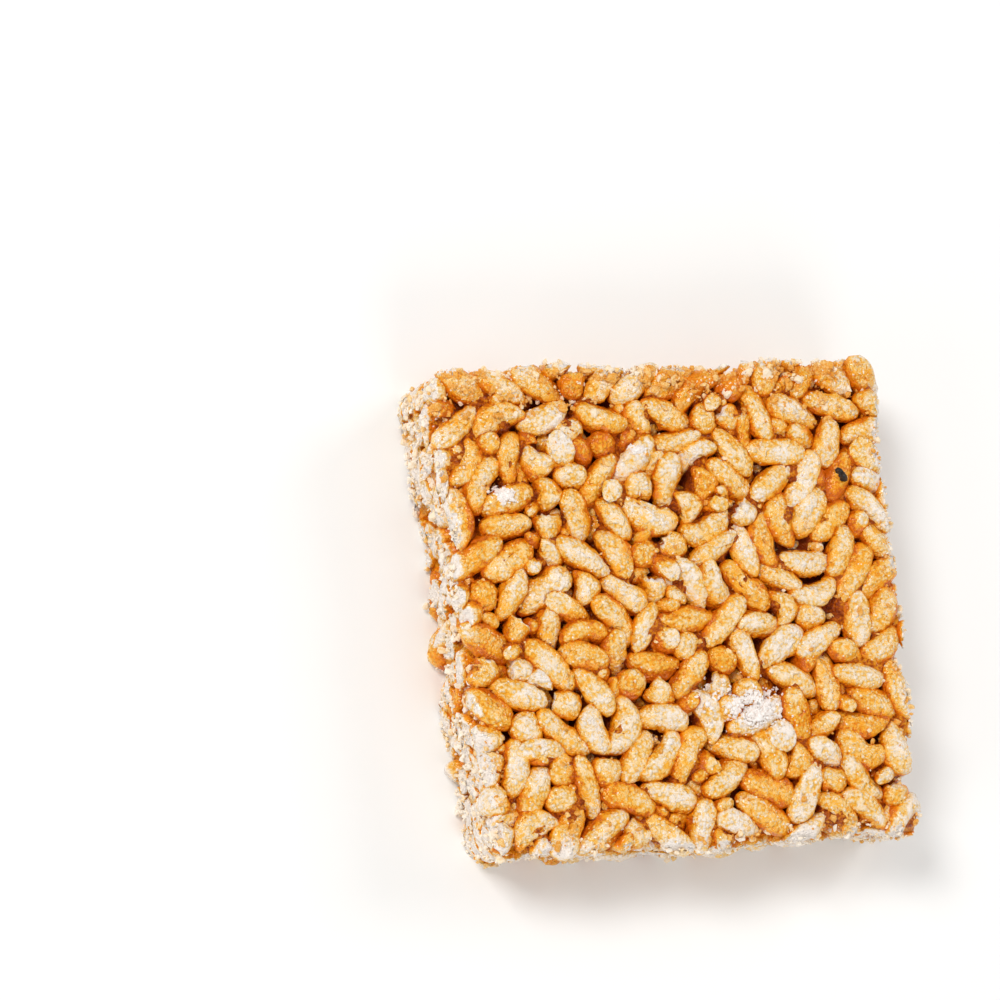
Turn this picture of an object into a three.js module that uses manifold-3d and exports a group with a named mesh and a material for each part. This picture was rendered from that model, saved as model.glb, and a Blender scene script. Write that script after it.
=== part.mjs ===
// A square puffed rice cake lying flat: puffed grains bound with malt syrup, pressed into a slab
// and cut by hand on four sides. It is one solid, a core slab with the grains that show fused onto it.
// Millimetres, +Z up. The origin is the middle of the underside, which the cake rests on.

import * as THREE from "three";
import { mergeVertices } from "three/addons/utils/BufferGeometryUtils.js";
import Module from "manifold-3d";

// The slab as cut. The knife ran a little off square, so the +Y edge sits to one side and is wider.
const WIDTH = 63.6; // along X, half way up the slab's length
const LENGTH = 66; // along Y
const THICKNESS = 16;
const SKEW = -1.5; // how far the +Y edge is shifted along X, and the -Y edge the other way
const TAPER = 0.9; // how far each end of the +Y edge stands out, and each end of the -Y edge stands in
const CORNER_RADII = { "-x-y": 3.4, "+x-y": 2.2, "+x+y": 2.4, "-x+y": 4.4 };
const EDGE_RADIUS = 2.4; // the crumbled edges between the cuts and the two faces
const BOX_MIDDLE = { x: -0.91, y: 0.01 }; // of the cake as worked out; it is then moved over the origin
const FACE_SLACK = 0.6; // how far the faces' grains may stand proud before they are trimmed
const WAVES = [
  { height: 0.4, length: 39 },
  { height: 0.25, length: 15 },
]; // how far each cut wanders from its straight line, and over what length

// The puffed grains, as spindles.
const GRAIN = { length: 8.4, lengthSpread: 2, width: 3.5, widthSpread: 0.5 };
const BROKEN = { share: 0.26, length: 4.7, lengthSpread: 1.1 };
const LYING_TILT = 9; // degrees that most grains lie off level
const STEEP = { share: 0.13, least: 30, most: 80 }; // the share that stands up, and its tilt in degrees
const BEAD_PLACES = [0, 0.25, 0.5, 0.75, 1]; // a grain as a row of beads along its rod
const BEAD_GIRTHS = [0.64, 0.91, 1, 0.91, 0.64];

// How the grains are packed.
const SEED = 20877;
const MARGIN = 4; // how far the pressed sheet went on beyond the cuts
const FLOOR_AREA = 22.5; // of the sheet for each grain of a layer, in square millimetres
const JITTER = 0.45; // of a grain's place, in steps of the grid
const LAYERS = 5;
const UNDERSIDE_SINK = 0.12; // how far the lowest grains were flattened on the tray
const ROUNDS = 10;
const STEPS = 8;
const REACH = 0.9; // bead pairs closer than this are watched during a round
const PRESS = 0.02; // pull on the outer grains towards the faces, each step
const PRESSED_DEPTH = 2.7;

// Which grains are modelled, and how they meet the core.
const FACE_DEPTH = 1; // of the core below the two faces
const WALL_DEPTH = 0.8; // of the core behind the four cuts
const SPACING = { top: 3.6, underside: 4.7, wall: 4.8 }; // the least between the middles of modelled grains
const CORE_BEVEL = 1.2;
const LEAST_PROUD = 0.4; // a grain that stands out of the core by less is left to it
const WHOLE_SHARE = 0.45; // of the grains at a cut that came away whole
const WHOLE_OVERHANG = 1.2; // the furthest that such a grain stands out
const LEAST_BITE = 1.1; // a cut grain that reaches less far inside than this fell off
const OUTLINE_POINTS = 44;
const GRAIN_SIDES = 5;
const GRAIN_GIRTH = 0.97; // of a facetted grain, as a share of the round grain's width
const SHOULDER = 0.22; // where a grain's full width begins, as a share of its length from the middle
const LUMPINESS = 0.1;
const ROLL = 0.2; // radians that a grain is turned from lying flat side out

const GRAIN_COLOUR = 0xe3b873;

// Park and Miller's generator, so that every build draws the same grains.
function seededRandom(seed) {
  let state = seed;
  return () => {
    state = (state * 48271) % 2147483647;
    return state / 2147483647;
  };
}

// A bell-shaped draw from -1 to 1.
const bell = (random) => (random() + random() + random()) / 1.5 - 1;

// The greater of two distances, with the corner where they meet rounded.
function roundedMax(a, b, radius) {
  if (Math.min(a, b) <= -radius) return Math.max(a, b);
  return Math.hypot(a + radius, b + radius) - radius;
}

// The four cuts: where each starts, its direction, its outward normal and where its waves begin.
function makeCuts(random) {
  const corner = (sx, sy) =>
    new THREE.Vector2((sx * WIDTH) / 2 + sy * SKEW + sx * sy * TAPER, (sy * LENGTH) / 2);
  const corners = [corner(-1, -1), corner(1, -1), corner(1, 1), corner(-1, 1)];
  return corners.map((start, i) => {
    const along = corners[(i + 1) % corners.length].clone().sub(start).normalize();
    const normal = new THREE.Vector2(along.y, -along.x);
    return { start, along, normal, phases: WAVES.map(() => random() * 2 * Math.PI) };
  });
}

// How far a point is beyond one wavy cut, or minus how far inside.
function beyondCut({ start, along, normal, phases }, x, y) {
  const [dx, dy] = [x - start.x, y - start.y];
  const run = dx * along.x + dy * along.y;
  const wander = WAVES.reduce(
    (sum, wave, k) => sum + wave.height * Math.sin((2 * Math.PI * run) / wave.length + phases[k]),
    0,
  );
  return dx * normal.x + dy * normal.y - wander;
}

// How far (x, y) is beyond the cut outline, or minus how far inside.
function beyondOutline(cuts, x, y) {
  const [most, next] = cuts.map((cut) => beyondCut(cut, x, y)).sort((a, b) => b - a);
  return roundedMax(most, next, CORNER_RADII[(x < 0 ? "-x" : "+x") + (y < 0 ? "-y" : "+y")]);
}

// How far a point is beyond the slab with its crumbled edges, or minus how far inside.
function beyondSlab(cuts, { x, y, z }) {
  const face = Math.abs(z - THICKNESS / 2) - THICKNESS / 2 - FACE_SLACK;
  return roundedMax(beyondOutline(cuts, x, y), face, EDGE_RADIUS);
}

// How far a point is beyond the core, or minus how far inside.
function beyondCore(cuts, { x, y, z }) {
  const face = Math.abs(z - THICKNESS / 2) - THICKNESS / 2 + FACE_DEPTH;
  return Math.max(beyondOutline(cuts, x, y) + WALL_DEPTH, face);
}

// One grain as it is first laid: two ends of a rod, with the beads' girths worked out from its radius.
function layGrain(random, middle) {
  const kind = random() < BROKEN.share ? BROKEN : GRAIN;
  const length = kind.length + kind.lengthSpread * bell(random);
  const radius = (GRAIN.width + GRAIN.widthSpread * bell(random)) / 2;
  const turn = random() * Math.PI;
  const steep = random() < STEEP.share;
  const degrees = steep ? STEEP.least + (STEEP.most - STEEP.least) * random() : LYING_TILT * bell(random);
  const tilt = THREE.MathUtils.degToRad(degrees);
  const half = new THREE.Vector3(
    Math.cos(tilt) * Math.cos(turn),
    Math.cos(tilt) * Math.sin(turn),
    Math.sin(tilt),
  ).multiplyScalar(length / 2 - radius * BEAD_GIRTHS[0]);
  return {
    length,
    radius,
    halfRod: half.length(),
    ends: [middle.clone().sub(half), middle.clone().add(half)],
  };
}

// Grains laid out in level layers, each on its own jittered grid.
function layGrains(random) {
  const [halfWidth, halfLength] = [WIDTH / 2 + MARGIN, LENGTH / 2 + MARGIN];
  const columns = Math.round((2 * halfWidth) / Math.sqrt(FLOOR_AREA));
  const rows = Math.round((2 * halfLength) / Math.sqrt(FLOOR_AREA));
  const grains = [];
  for (let layer = 0; layer < LAYERS; layer++)
    for (let row = 0; row < rows; row++)
      for (let column = 0; column < columns; column++) {
        const middle = new THREE.Vector3(
          -halfWidth + ((column + 0.5 + JITTER * bell(random)) * 2 * halfWidth) / columns,
          -halfLength + ((row + 0.5 + JITTER * bell(random)) * 2 * halfLength) / rows,
          (THICKNESS * (layer + 0.5)) / LAYERS,
        );
        grains.push(layGrain(random, middle));
      }
  return grains;
}

const middleOf = ({ ends }) => ends[0].clone().lerp(ends[1], 0.5);

const beadsOf = ({ ends, radius }) =>
  BEAD_PLACES.map((place, k) => ({
    at: ends[0].clone().lerp(ends[1], place),
    girth: radius * BEAD_GIRTHS[k],
  }));

// Pairs of beads of different grains that nearly touch, found on a coarse grid of cells.
function closePairs(grains) {
  const cell = GRAIN.width + GRAIN.widthSpread + REACH;
  const cells = new Map();
  const keyOf = (i, j, k) => `${i} ${j} ${k}`;
  const pairs = [];
  grains.forEach((grain, index) => {
    beadsOf(grain).forEach(({ at, girth }, k) => {
      const bead = { index, k, at, girth };
      const [cx, cy, cz] = at.toArray().map((value) => Math.floor(value / cell));
      for (const x of [cx - 1, cx, cx + 1])
        for (const y of [cy - 1, cy, cy + 1])
          for (const z of [cz - 1, cz, cz + 1])
            for (const other of cells.get(keyOf(x, y, z)) ?? []) {
              const near = other.at.distanceTo(at) < other.girth + girth + REACH;
              if (near && other.index !== index) pairs.push([other, bead]);
            }
      const key = keyOf(cx, cy, cz);
      cells.set(key, [...(cells.get(key) ?? []), bead]);
    });
  });
  return pairs;
}

// One step of settling: overlapping beads push their rods apart, the tray and the lid push them in,
// and the rods keep their length.
function settle(grains, pairs) {
  const beads = grains.map(beadsOf);
  const shifts = grains.map(() => ({ ends: [new THREE.Vector3(), new THREE.Vector3()], touches: 0 }));
  const push = (index, k, by) => {
    const place = BEAD_PLACES[k];
    const share = 1 / ((1 - place) ** 2 + place ** 2);
    shifts[index].ends[0].addScaledVector(by, (1 - place) * share);
    shifts[index].ends[1].addScaledVector(by, place * share);
    shifts[index].touches++;
  };
  for (const [a, b] of pairs) {
    const away = beads[b.index][b.k].at.clone().sub(beads[a.index][a.k].at);
    const overlap = a.girth + b.girth - away.length();
    if (overlap > 0) {
      away.setLength(overlap / 2);
      push(b.index, b.k, away);
      push(a.index, a.k, away.clone().negate());
    }
  }
  grains.forEach((grain, index) => {
    beads[index].forEach(({ at, girth }, k) => {
      const above = at.z + girth - THICKNESS;
      const below = girth - UNDERSIDE_SINK - at.z;
      if (above > 0) push(index, k, new THREE.Vector3(0, 0, -above));
      if (below > 0) push(index, k, new THREE.Vector3(0, 0, below));
    });
    const { ends, touches } = shifts[index];
    grain.ends.forEach((end, side) => end.addScaledVector(ends[side], 1 / Math.max(touches, 1)));
    const middle = middleOf(grain);
    if (middle.z > THICKNESS - PRESSED_DEPTH) middle.z += PRESS;
    if (middle.z < PRESSED_DEPTH) middle.z -= PRESS;
    const half = grain.ends[1].clone().sub(grain.ends[0]).setLength(grain.halfRod);
    grain.ends = [middle.clone().sub(half), middle.clone().add(half)];
  });
}

function packGrains(random) {
  const grains = layGrains(random);
  for (let round = 0; round < ROUNDS; round++) {
    const pairs = closePairs(grains);
    for (let step = 0; step < STEPS; step++) settle(grains, pairs);
  }
  return grains;
}

// Whether the knife left a grain whole, cut it or took it away.
function fateOf(grain, cuts, keepsWhole) {
  const beyond = beadsOf(grain).map(({ at, girth }) => ({ at: beyondSlab(cuts, at), girth }));
  const overhang = Math.max(...beyond.map(({ at, girth }) => at + girth));
  const bite = Math.max(...beyond.map(({ at, girth }) => girth - at));
  if (overhang <= 0) return "whole";
  if (keepsWhole && overhang < WHOLE_OVERHANG && beyondSlab(cuts, middleOf(grain)) < 0) return "whole";
  return bite > LEAST_BITE ? "cut" : "gone";
}

// Where a grain shows and how much of it stands out of the core.
function showingOf(grain, cuts) {
  const beads = beadsOf(grain);
  const proud = beads.map(({ at, girth }) => Math.min(beyondCore(cuts, at) + girth, 2 * girth));
  const middle = middleOf(grain);
  const walls = cuts.map((cut) => beyondCut(cut, middle.x, middle.y));
  const atWall = beads.some(({ at, girth }) => beyondOutline(cuts, at.x, at.y) + girth > -WALL_DEPTH);
  const face = middle.z > THICKNESS / 2 ? "top" : "underside";
  return {
    place: atWall ? walls.indexOf(Math.max(...walls)) : face,
    most: Math.max(...proud),
    size: grain.length * proud.reduce((sum, height, k) => sum + Math.max(height, 0) * beads[k].girth, 0),
  };
}

// The grains to model: the largest come first, and the others only where they aren't crowded by one.
function chooseGrains(grains, cuts, random) {
  const shown = grains
    .map((grain) => {
      const fate = fateOf(grain, cuts, random() < WHOLE_SHARE);
      return { grain, fate, ...showingOf(grain, cuts) };
    })
    .filter(({ fate, most }) => fate !== "gone" && most > LEAST_PROUD)
    .sort((a, b) => b.size - a.size);
  const chosen = [];
  for (const candidate of shown) {
    const middle = middleOf(candidate.grain);
    const spacing = SPACING[candidate.place] ?? SPACING.wall;
    const crowds = (other) => other.place === candidate.place && other.middle.distanceTo(middle) < spacing;
    if (!chosen.some(crowds)) chosen.push({ ...candidate, middle });
  }
  return chosen;
}

const wasm = await Module();
wasm.setup();

function solidOf(geometry) {
  geometry.deleteAttribute("normal");
  geometry.deleteAttribute("uv");
  const merged = mergeVertices(geometry, 1e-4);
  return new wasm.Manifold(
    new wasm.Mesh({
      numProp: 3,
      vertProperties: merged.attributes.position.array,
      triVerts: new Uint32Array(merged.index.array),
    }),
  );
}

function geometryOf(solid) {
  const mesh = solid.getMesh();
  return new THREE.BufferGeometry()
    .setAttribute("position", new THREE.BufferAttribute(mesh.vertProperties, 3))
    .setIndex(new THREE.BufferAttribute(mesh.triVerts, 1));
}

// One grain: a spindle of two uneven rings laid along its rod, with a flat side facing up,
// or down on the underside.
function grainSolid(grain, random) {
  const { length, radius, ends } = grain;
  const ring = () => radius * GRAIN_GIRTH * (1 + LUMPINESS * bell(random));
  const profile = [
    new THREE.Vector2(0, -length / 2),
    new THREE.Vector2(ring(), -length * SHOULDER),
    new THREE.Vector2(ring(), length * SHOULDER),
    new THREE.Vector2(0, length / 2),
  ];
  const start = Math.PI / GRAIN_SIDES + ROLL * bell(random);
  const geometry = new THREE.LatheGeometry(profile, GRAIN_SIDES, start);
  const middle = middleOf(grain);
  const axis = ends[1].clone().sub(ends[0]).normalize();
  if (middle.z < THICKNESS / 2) axis.negate();
  const side = new THREE.Vector3(axis.y, -axis.x, 0).normalize();
  if (middle.z < THICKNESS / 2) side.negate();
  geometry.applyMatrix4(new THREE.Matrix4().makeBasis(side, axis, side.clone().cross(axis)));
  geometry.translate(...middle.toArray());
  return solidOf(geometry);
}

// How far the outline, taken in by depth, is from the middle at this angle.
function reachAt(cuts, depth, angle) {
  let near = 0;
  let far = WIDTH + LENGTH;
  for (let halving = 0; halving < 40; halving++) {
    const reach = (near + far) / 2;
    if (beyondOutline(cuts, reach * Math.cos(angle), reach * Math.sin(angle)) < -depth) near = reach;
    else far = reach;
  }
  return near;
}

// The slab inside the cuts, taken in behind the walls and faces, with its edges rounded by the bevel.
function slabSolid(cuts, wallDepth, faceDepth, bevel) {
  const outline = Array.from({ length: OUTLINE_POINTS }, (_, i) => {
    const angle = (2 * Math.PI * i) / OUTLINE_POINTS;
    const reach = reachAt(cuts, wallDepth, angle);
    return new THREE.Vector2(reach * Math.cos(angle), reach * Math.sin(angle));
  });
  const geometry = new THREE.ExtrudeGeometry(new THREE.Shape(outline), {
    depth: THICKNESS - 2 * (faceDepth + bevel),
    bevelThickness: bevel,
    bevelSize: bevel,
    bevelOffset: -bevel,
    bevelSegments: 1,
  });
  return solidOf(geometry.translate(0, 0, faceDepth + bevel));
}

function makeCake() {
  const random = seededRandom(SEED);
  const cuts = makeCuts(random);
  const chosen = chooseGrains(packGrains(random), cuts, random);
  const solids = chosen.map(({ grain, fate }) => ({ solid: grainSolid(grain, random), fate }));
  const joined = (fate) => wasm.Manifold.union(solids.filter((s) => s.fate === fate).map((s) => s.solid));
  const core = slabSolid(cuts, WALL_DEPTH, FACE_DEPTH, CORE_BEVEL);
  const knife = slabSolid(cuts, 0, -FACE_SLACK, EDGE_RADIUS);
  const below = new THREE.BoxGeometry(2 * WIDTH, 2 * LENGTH, THICKNESS).translate(0, 0, -THICKNESS / 2);
  const tray = solidOf(below);
  const [cake] = core
    .add(joined("cut").intersect(knife))
    .add(joined("whole"))
    .subtract(tray)
    .decompose()
    .sort((a, b) => b.volume() - a.volume());
  return geometryOf(cake).translate(-BOX_MIDDLE.x, -BOX_MIDDLE.y, 0);
}

const cake = new THREE.Mesh(
  makeCake(),
  new THREE.MeshStandardMaterial({ color: GRAIN_COLOUR, roughness: 0.45, metalness: 0 }),
);
cake.name = "puffed_rice_cake";

const group = new THREE.Group();
group.add(cake);

export default group;
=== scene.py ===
"""A square puffed rice cake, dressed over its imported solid.

The cake lies flat. It is puffed rice grains bound with malt syrup, pressed on a tray and cut by hand on
four sides. The grains are laid and settled by the rule that the solid was made by, so that each lies
where its solid does. Lengths are in millimetres with +Z up, and a mesh is turned into metres as it is
made.
"""

from __future__ import annotations

import logging
import math
from dataclasses import dataclass, field
from enum import Enum, IntEnum
from typing import Sequence

import bmesh
import bpy
import numpy as np
from mathutils import Matrix, Vector

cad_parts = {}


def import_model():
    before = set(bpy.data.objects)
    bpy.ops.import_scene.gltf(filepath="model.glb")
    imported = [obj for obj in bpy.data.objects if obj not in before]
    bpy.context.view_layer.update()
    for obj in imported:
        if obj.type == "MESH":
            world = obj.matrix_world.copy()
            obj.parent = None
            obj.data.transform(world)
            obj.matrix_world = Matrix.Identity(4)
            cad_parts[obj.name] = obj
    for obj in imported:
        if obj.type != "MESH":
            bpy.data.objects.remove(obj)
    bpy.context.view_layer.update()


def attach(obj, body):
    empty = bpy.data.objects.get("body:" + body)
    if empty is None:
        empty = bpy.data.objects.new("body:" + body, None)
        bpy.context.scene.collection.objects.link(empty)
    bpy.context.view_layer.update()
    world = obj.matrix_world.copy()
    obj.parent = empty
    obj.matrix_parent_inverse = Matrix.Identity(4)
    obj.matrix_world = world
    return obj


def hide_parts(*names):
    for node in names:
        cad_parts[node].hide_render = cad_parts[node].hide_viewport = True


Array = np.ndarray

NODE = "puffed_rice_cake"
BODY = "root"
BAKE_MAP = "OFBake"
METRES = 0.001
IMAGE_PIXELS = 1000
MAP_MARGIN = 0.04
FAR = 99.0
TINY = 1e-9

log = logging.getLogger("rice_cake")


class Seed(IntEnum):
    """Where each run of random draws starts."""

    PEBBLING = 11
    SNAPPED_ENDS = 12
    PLATES = 21
    PLATE_SWELLS = 22
    SYRUP = 31
    FINE_CRUMBS = 41
    FINE_SHAPES = 42
    COARSE_CRUMBS = 43
    COARSE_SHAPES = 44
    STARCH = 45
    STARCH_SHAPES = 46
    BURNT_SHAPES = 47
    CRUST_PATCHES = 48
    WALL_PATCHES = 49
    CRUMB_SHADES = 50
    FILLING = 71
    GRAIN_SHAPES = 100
    PACKING = 20877


class Fate(IntEnum):
    """What the knife did to a grain."""

    WHOLE = 0
    CUT = 1
    GONE = 2


class Draws:
    """Park and Miller's generator, whose draws lay the same grains on every run."""

    MULTIPLIER = 48271
    MODULUS = 2147483647

    def __init__(self, seed: int) -> None:
        """Starts a row of draws.

        Args:
            seed: a whole number from 1.
        """
        self.state = seed

    def uniform(self) -> float:
        """Returns a draw from 0 to 1."""
        self.state = self.state * self.MULTIPLIER % self.MODULUS
        return self.state / self.MODULUS

    def bell(self) -> float:
        """Returns a bell-shaped draw from -1 to 1."""
        return (self.uniform() + self.uniform() + self.uniform()) / 1.5 - 1


def rounded_max(a: Array, b: Array, radius: Array | float) -> Array:
    """Returns the greater of two distances, with the corner where they meet rounded.

    Args:
        a: distances to one face.
        b: distances to the other.
        radius: of the rounding.
    """
    rounded = np.hypot(a + radius, b + radius) - radius
    return np.where(np.minimum(a, b) <= -radius, np.maximum(a, b), rounded)


def unit(vectors: Array) -> Array:
    """Returns vectors scaled to a length of one."""
    return vectors / np.maximum(np.linalg.norm(vectors, axis=-1, keepdims=True), TINY)


@dataclass(frozen=True)
class Wave:
    """One wave of a cut that wanders off its straight line."""

    height: float
    length: float


@dataclass(frozen=True)
class Cut:
    """One knife cut: where it starts, which way it runs, its outward normal and its waves' phases."""

    start: Array
    along: Array
    normal: Array
    waves: tuple[Wave, ...]
    phases: tuple[float, ...]

    def beyond(self, places: Array) -> Array:
        """Returns how far places are beyond the cut, or minus how far inside.

        Args:
            places: (..., 2) or (..., 3) array, of which X and Y are read.

        Returns:
            A (...) array.
        """
        x, y = places[..., 0] - self.start[0], places[..., 1] - self.start[1]
        run = x * self.along[0] + y * self.along[1]
        out = x * self.normal[0] + y * self.normal[1]
        for wave, phase in zip(self.waves, self.phases):
            out = out - wave.height * np.sin(2.0 * math.pi * run / wave.length + phase)
        return out


@dataclass
class Slab:
    """The pressed slab as the knife left it, before it is moved over the origin."""

    width: float = 63.6
    length: float = 66.0
    thickness: float = 16.0
    skew: float = -1.5
    taper: float = 0.9
    corner_radii: tuple[float, float, float, float] = (3.4, 2.2, 4.4, 2.4)  # -x-y, +x-y, -x+y, +x+y
    edge_radius: float = 2.4
    face_slack: float = 0.6
    waves: tuple[Wave, ...] = (Wave(0.4, 39.0), Wave(0.25, 15.0))
    middle: tuple[float, float] = (-0.91, 0.01)
    tray_blur: float = 0.07
    cuts: list[Cut] = field(default_factory=list)

    def corner(self, sx: int, sy: int) -> Array:
        """Returns the sharp corner on these sides, each -1 or 1."""
        x = sx * self.width / 2 + sy * self.skew + sx * sy * self.taper
        return np.array([x, sy * self.length / 2])

    def cut(self, draws: Draws) -> None:
        """Makes the four cuts, anticlockwise from the -Y side.

        Args:
            draws: the random draws.
        """
        corners = [self.corner(-1, -1), self.corner(1, -1), self.corner(1, 1), self.corner(-1, 1)]
        for i, start in enumerate(corners):
            along = corners[(i + 1) % 4] - start
            along = along / np.hypot(*along)
            phases = tuple(draws.uniform() * 2.0 * math.pi for _ in self.waves)
            self.cuts.append(Cut(start, along, np.array([along[1], -along[0]]), self.waves, phases))

    def beyond_outline(self, places: Array) -> Array:
        """Measures how far places are beyond the cut outline, seen from above.

        Args:
            places: (..., 2) or (..., 3) array.

        Returns:
            A (...) array, negative inside.
        """
        most_first = np.sort(np.stack([cut.beyond(places) for cut in self.cuts]), axis=0)[::-1]
        quadrant = (places[..., 0] >= 0).astype(int) + 2 * (places[..., 1] >= 0).astype(int)
        return rounded_max(most_first[0], most_first[1], np.array(self.corner_radii)[quadrant])

    def beyond(self, places: Array) -> Array:
        """Returns how far places are beyond the slab with its crumbled edges."""
        face = np.abs(places[..., 2] - self.thickness / 2) - self.thickness / 2 - self.face_slack
        return rounded_max(self.beyond_outline(places), face, self.edge_radius)

    def outward(self, places: Array, reach: float = 0.06) -> Array:
        """Finds which way is out of the slab.

        Args:
            places: (..., 3) array.
            reach: how far to either side the slope is measured.

        Returns:
            A unit vector for each place.
        """
        steps = reach * np.eye(3)
        slope = np.stack([self.beyond(places + step) - self.beyond(places - step) for step in steps], axis=-1)
        return unit(slope)

    def onto(self, places: Array, offset: float = 0.0, rounds: int = 4) -> Array:
        """Moves places on to a surface of the slab's form.

        Args:
            places: (..., 3) array.
            offset: how far inside the slab's own surface it lies.
            rounds: how often they are moved nearer to it.

        Returns:
            The new places.
        """
        for _ in range(rounds):
            away = self.beyond(places) + offset
            places = places - away[..., None] * self.outward(places)
        return places

    def skin(self, box: Array, offset: float = 0.0) -> Array:
        """Moves the skin of a box from -1 to 1 on to the slab's surface.

        Args:
            box: (n, 3) array of places on the box.
            offset: how far inside the surface they end.

        Returns:
            The new places.
        """
        x = box[:, 0] * self.width / 2 + box[:, 1] * self.skew + box[:, 0] * box[:, 1] * self.taper
        y = box[:, 1] * self.length / 2
        z = self.thickness / 2 + box[:, 2] * (self.thickness / 2 + self.face_slack)
        return self.onto(np.stack([x, y, z], axis=1), offset)

    def scattered(self, count: int, rng: np.random.Generator) -> Array:
        """Spreads places evenly over the slab's whole surface.

        Args:
            count: how many.
            rng: the random draws.

        Returns:
            A (count, 3) array.
        """
        wide, long, tall = self.width, self.length, self.thickness
        area = np.array([long * tall, wide * tall, wide * long])
        side = rng.choice(3, size=count, p=area / area.sum())
        box = rng.uniform(-1, 1, (count, 3))
        box[np.arange(count), side] = np.sign(box[np.arange(count), side])
        return self.skin(box)

    def to_part(self, places: Array) -> Array:
        """Moves places to the part's frame, with what hangs low pressed flat on the tray.

        Args:
            places: (..., 3) array in millimetres.

        Returns:
            The new places in metres.
        """
        raised = places - np.array([*self.middle, 0.0])
        raised[..., 2] = self.tray_blur * np.logaddexp(0.0, raised[..., 2] / self.tray_blur)
        return raised * METRES


@dataclass
class Grains:
    """All grains of the sheet, one row each: two ends of a rod with beads along it."""

    ends: Array
    length: Array
    radius: Array
    broken: Array
    fate: Array = field(default_factory=lambda: np.empty(0))
    snap: Array = field(default_factory=lambda: np.empty(0))

    PLACES = np.array([0.0, 0.25, 0.5, 0.75, 1.0])
    LEAST_GIRTH = 0.64
    LEAST_ROD = 0.1
    LEAST_SQUARE = 1e-6
    STEEPEST_RISE = 0.5
    NOT_SNAPPED = 9.0

    @classmethod
    def girth_at(cls, place: Array) -> Array:
        """Returns the girth at a place from 0 to 1 along the rod, as a share of the grain's radius."""
        return 1.0 - (1.0 - cls.LEAST_GIRTH) * (2.0 * place - 1.0) ** 2

    def break_ends(self, share: float, least: float, most: float, rng: np.random.Generator) -> None:
        """Draws where one end of some lying broken grains is snapped off.

        Args:
            share: how many of the broken grains show it.
            least: the shortest that one is left, as a share of its half length.
            most: the longest.
            rng: the random draws.
        """
        drawn = rng.uniform(least, most, len(self.radius))
        shown = self.broken & (rng.random(len(self.radius)) < share)
        shown &= np.abs(self.axes[:, 2]) < self.STEEPEST_RISE
        self.snap = np.where(shown, drawn, self.NOT_SNAPPED)

    def stubs(self) -> Grains:
        """Ends the rods of the broken grains where they are snapped off.

        Returns:
            The grains with their new rods.
        """
        half = np.linalg.norm(self.ends[:, 1] - self.ends[:, 0], axis=1) / 2
        kept = np.minimum(half, self.snap * self.length / 2 - self.radius / 2)
        kept = np.maximum(kept, self.LEAST_ROD - half)
        snapped_end = self.middles + self.axes * kept[:, None]
        ends = np.stack([self.ends[:, 0], snapped_end], axis=1)
        return Grains(ends, self.length, self.radius, self.broken, self.fate, self.snap)

    @property
    def left(self) -> Array:
        """The rows of the grains that the knife left."""
        return np.nonzero(self.fate != Fate.GONE)[0]

    @property
    def middles(self) -> Array:
        """The middle of each rod."""
        return self.ends.mean(axis=1)

    @property
    def axes(self) -> Array:
        """The unit vector along each rod."""
        return unit(self.ends[:, 1] - self.ends[:, 0])

    @property
    def beads(self) -> Array:
        """The middle of each bead, (grains, 5, 3)."""
        return self.ends[:, :1] + self.PLACES[None, :, None] * (self.ends[:, 1:] - self.ends[:, :1])

    @property
    def girths(self) -> Array:
        """The radius of each bead, (grains, 5)."""
        return self.radius[:, None] * self.girth_at(self.PLACES)

    def distance(self, places: Array, which: Array) -> Array:
        """Returns the distance from places to the surfaces of grains.

        Args:
            places: (..., 3) array.
            which: (..., k) array of grains' rows, of which a negative one is far away.

        Returns:
            A (..., k) array, negative inside a grain.
        """
        start, end = self.ends[which, 0], self.ends[which, 1]
        rod = end - start
        offset = places[..., None, :] - start
        place = np.clip((offset * rod).sum(-1) / np.maximum((rod * rod).sum(-1), TINY), 0.0, 1.0)
        away = np.linalg.norm(offset - place[..., None] * rod, axis=-1)
        return np.where(which < 0, FAR, away - self.radius[which] * self.girth_at(place))

    def nearest(self, places: Array, rows: Array, count: int, chunk: int = 3000) -> Array:
        """Finds the grains that are nearest to each place.

        Args:
            places: (n, 3) array.
            rows: the grains to look among.
            count: how many to find for each place.
            chunk: how many places are worked out at a time.

        Returns:
            Their rows, (n, count).
        """
        found = []
        start = self.ends[rows, 0].astype(np.float32)
        rod = (self.ends[rows, 1] - self.ends[rows, 0]).astype(np.float32)
        length_squared = np.maximum((rod * rod).sum(-1), self.LEAST_SQUARE)
        for part in np.array_split(places.astype(np.float32), max(1, len(places) // chunk)):
            along = (part @ rod.T - (start * rod).sum(-1)) / length_squared
            along = np.clip(along, 0.0, 1.0)
            away = [part[:, k, None] - start[:, k] - along * rod[:, k] for k in range(3)]
            apart = away[0] ** 2 + away[1] ** 2 + away[2] ** 2
            found.append(rows[np.argpartition(apart, count, axis=1)[:, :count]])
        return np.concatenate(found)

    def neighbours(self, chosen: Array, reach: float) -> Array:
        """Finds the grains round each chosen grain.

        Args:
            chosen: the rows to look round.
            reach: the widest gap to a neighbour.

        Returns:
            Their rows, one line for each chosen grain, padded with -1.
        """
        middles, span = self.middles, self.length / 2
        lists = []
        for row in chosen:
            apart = np.linalg.norm(middles - middles[row], axis=1)
            near = (apart < span + span[row] + reach) & (self.fate != Fate.GONE)
            near[row] = False
            lists.append(np.nonzero(near)[0])
        padded = np.full((len(lists), max(len(each) for each in lists)), -1)
        for i, each in enumerate(lists):
            padded[i, : len(each)] = each
        return padded


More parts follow.
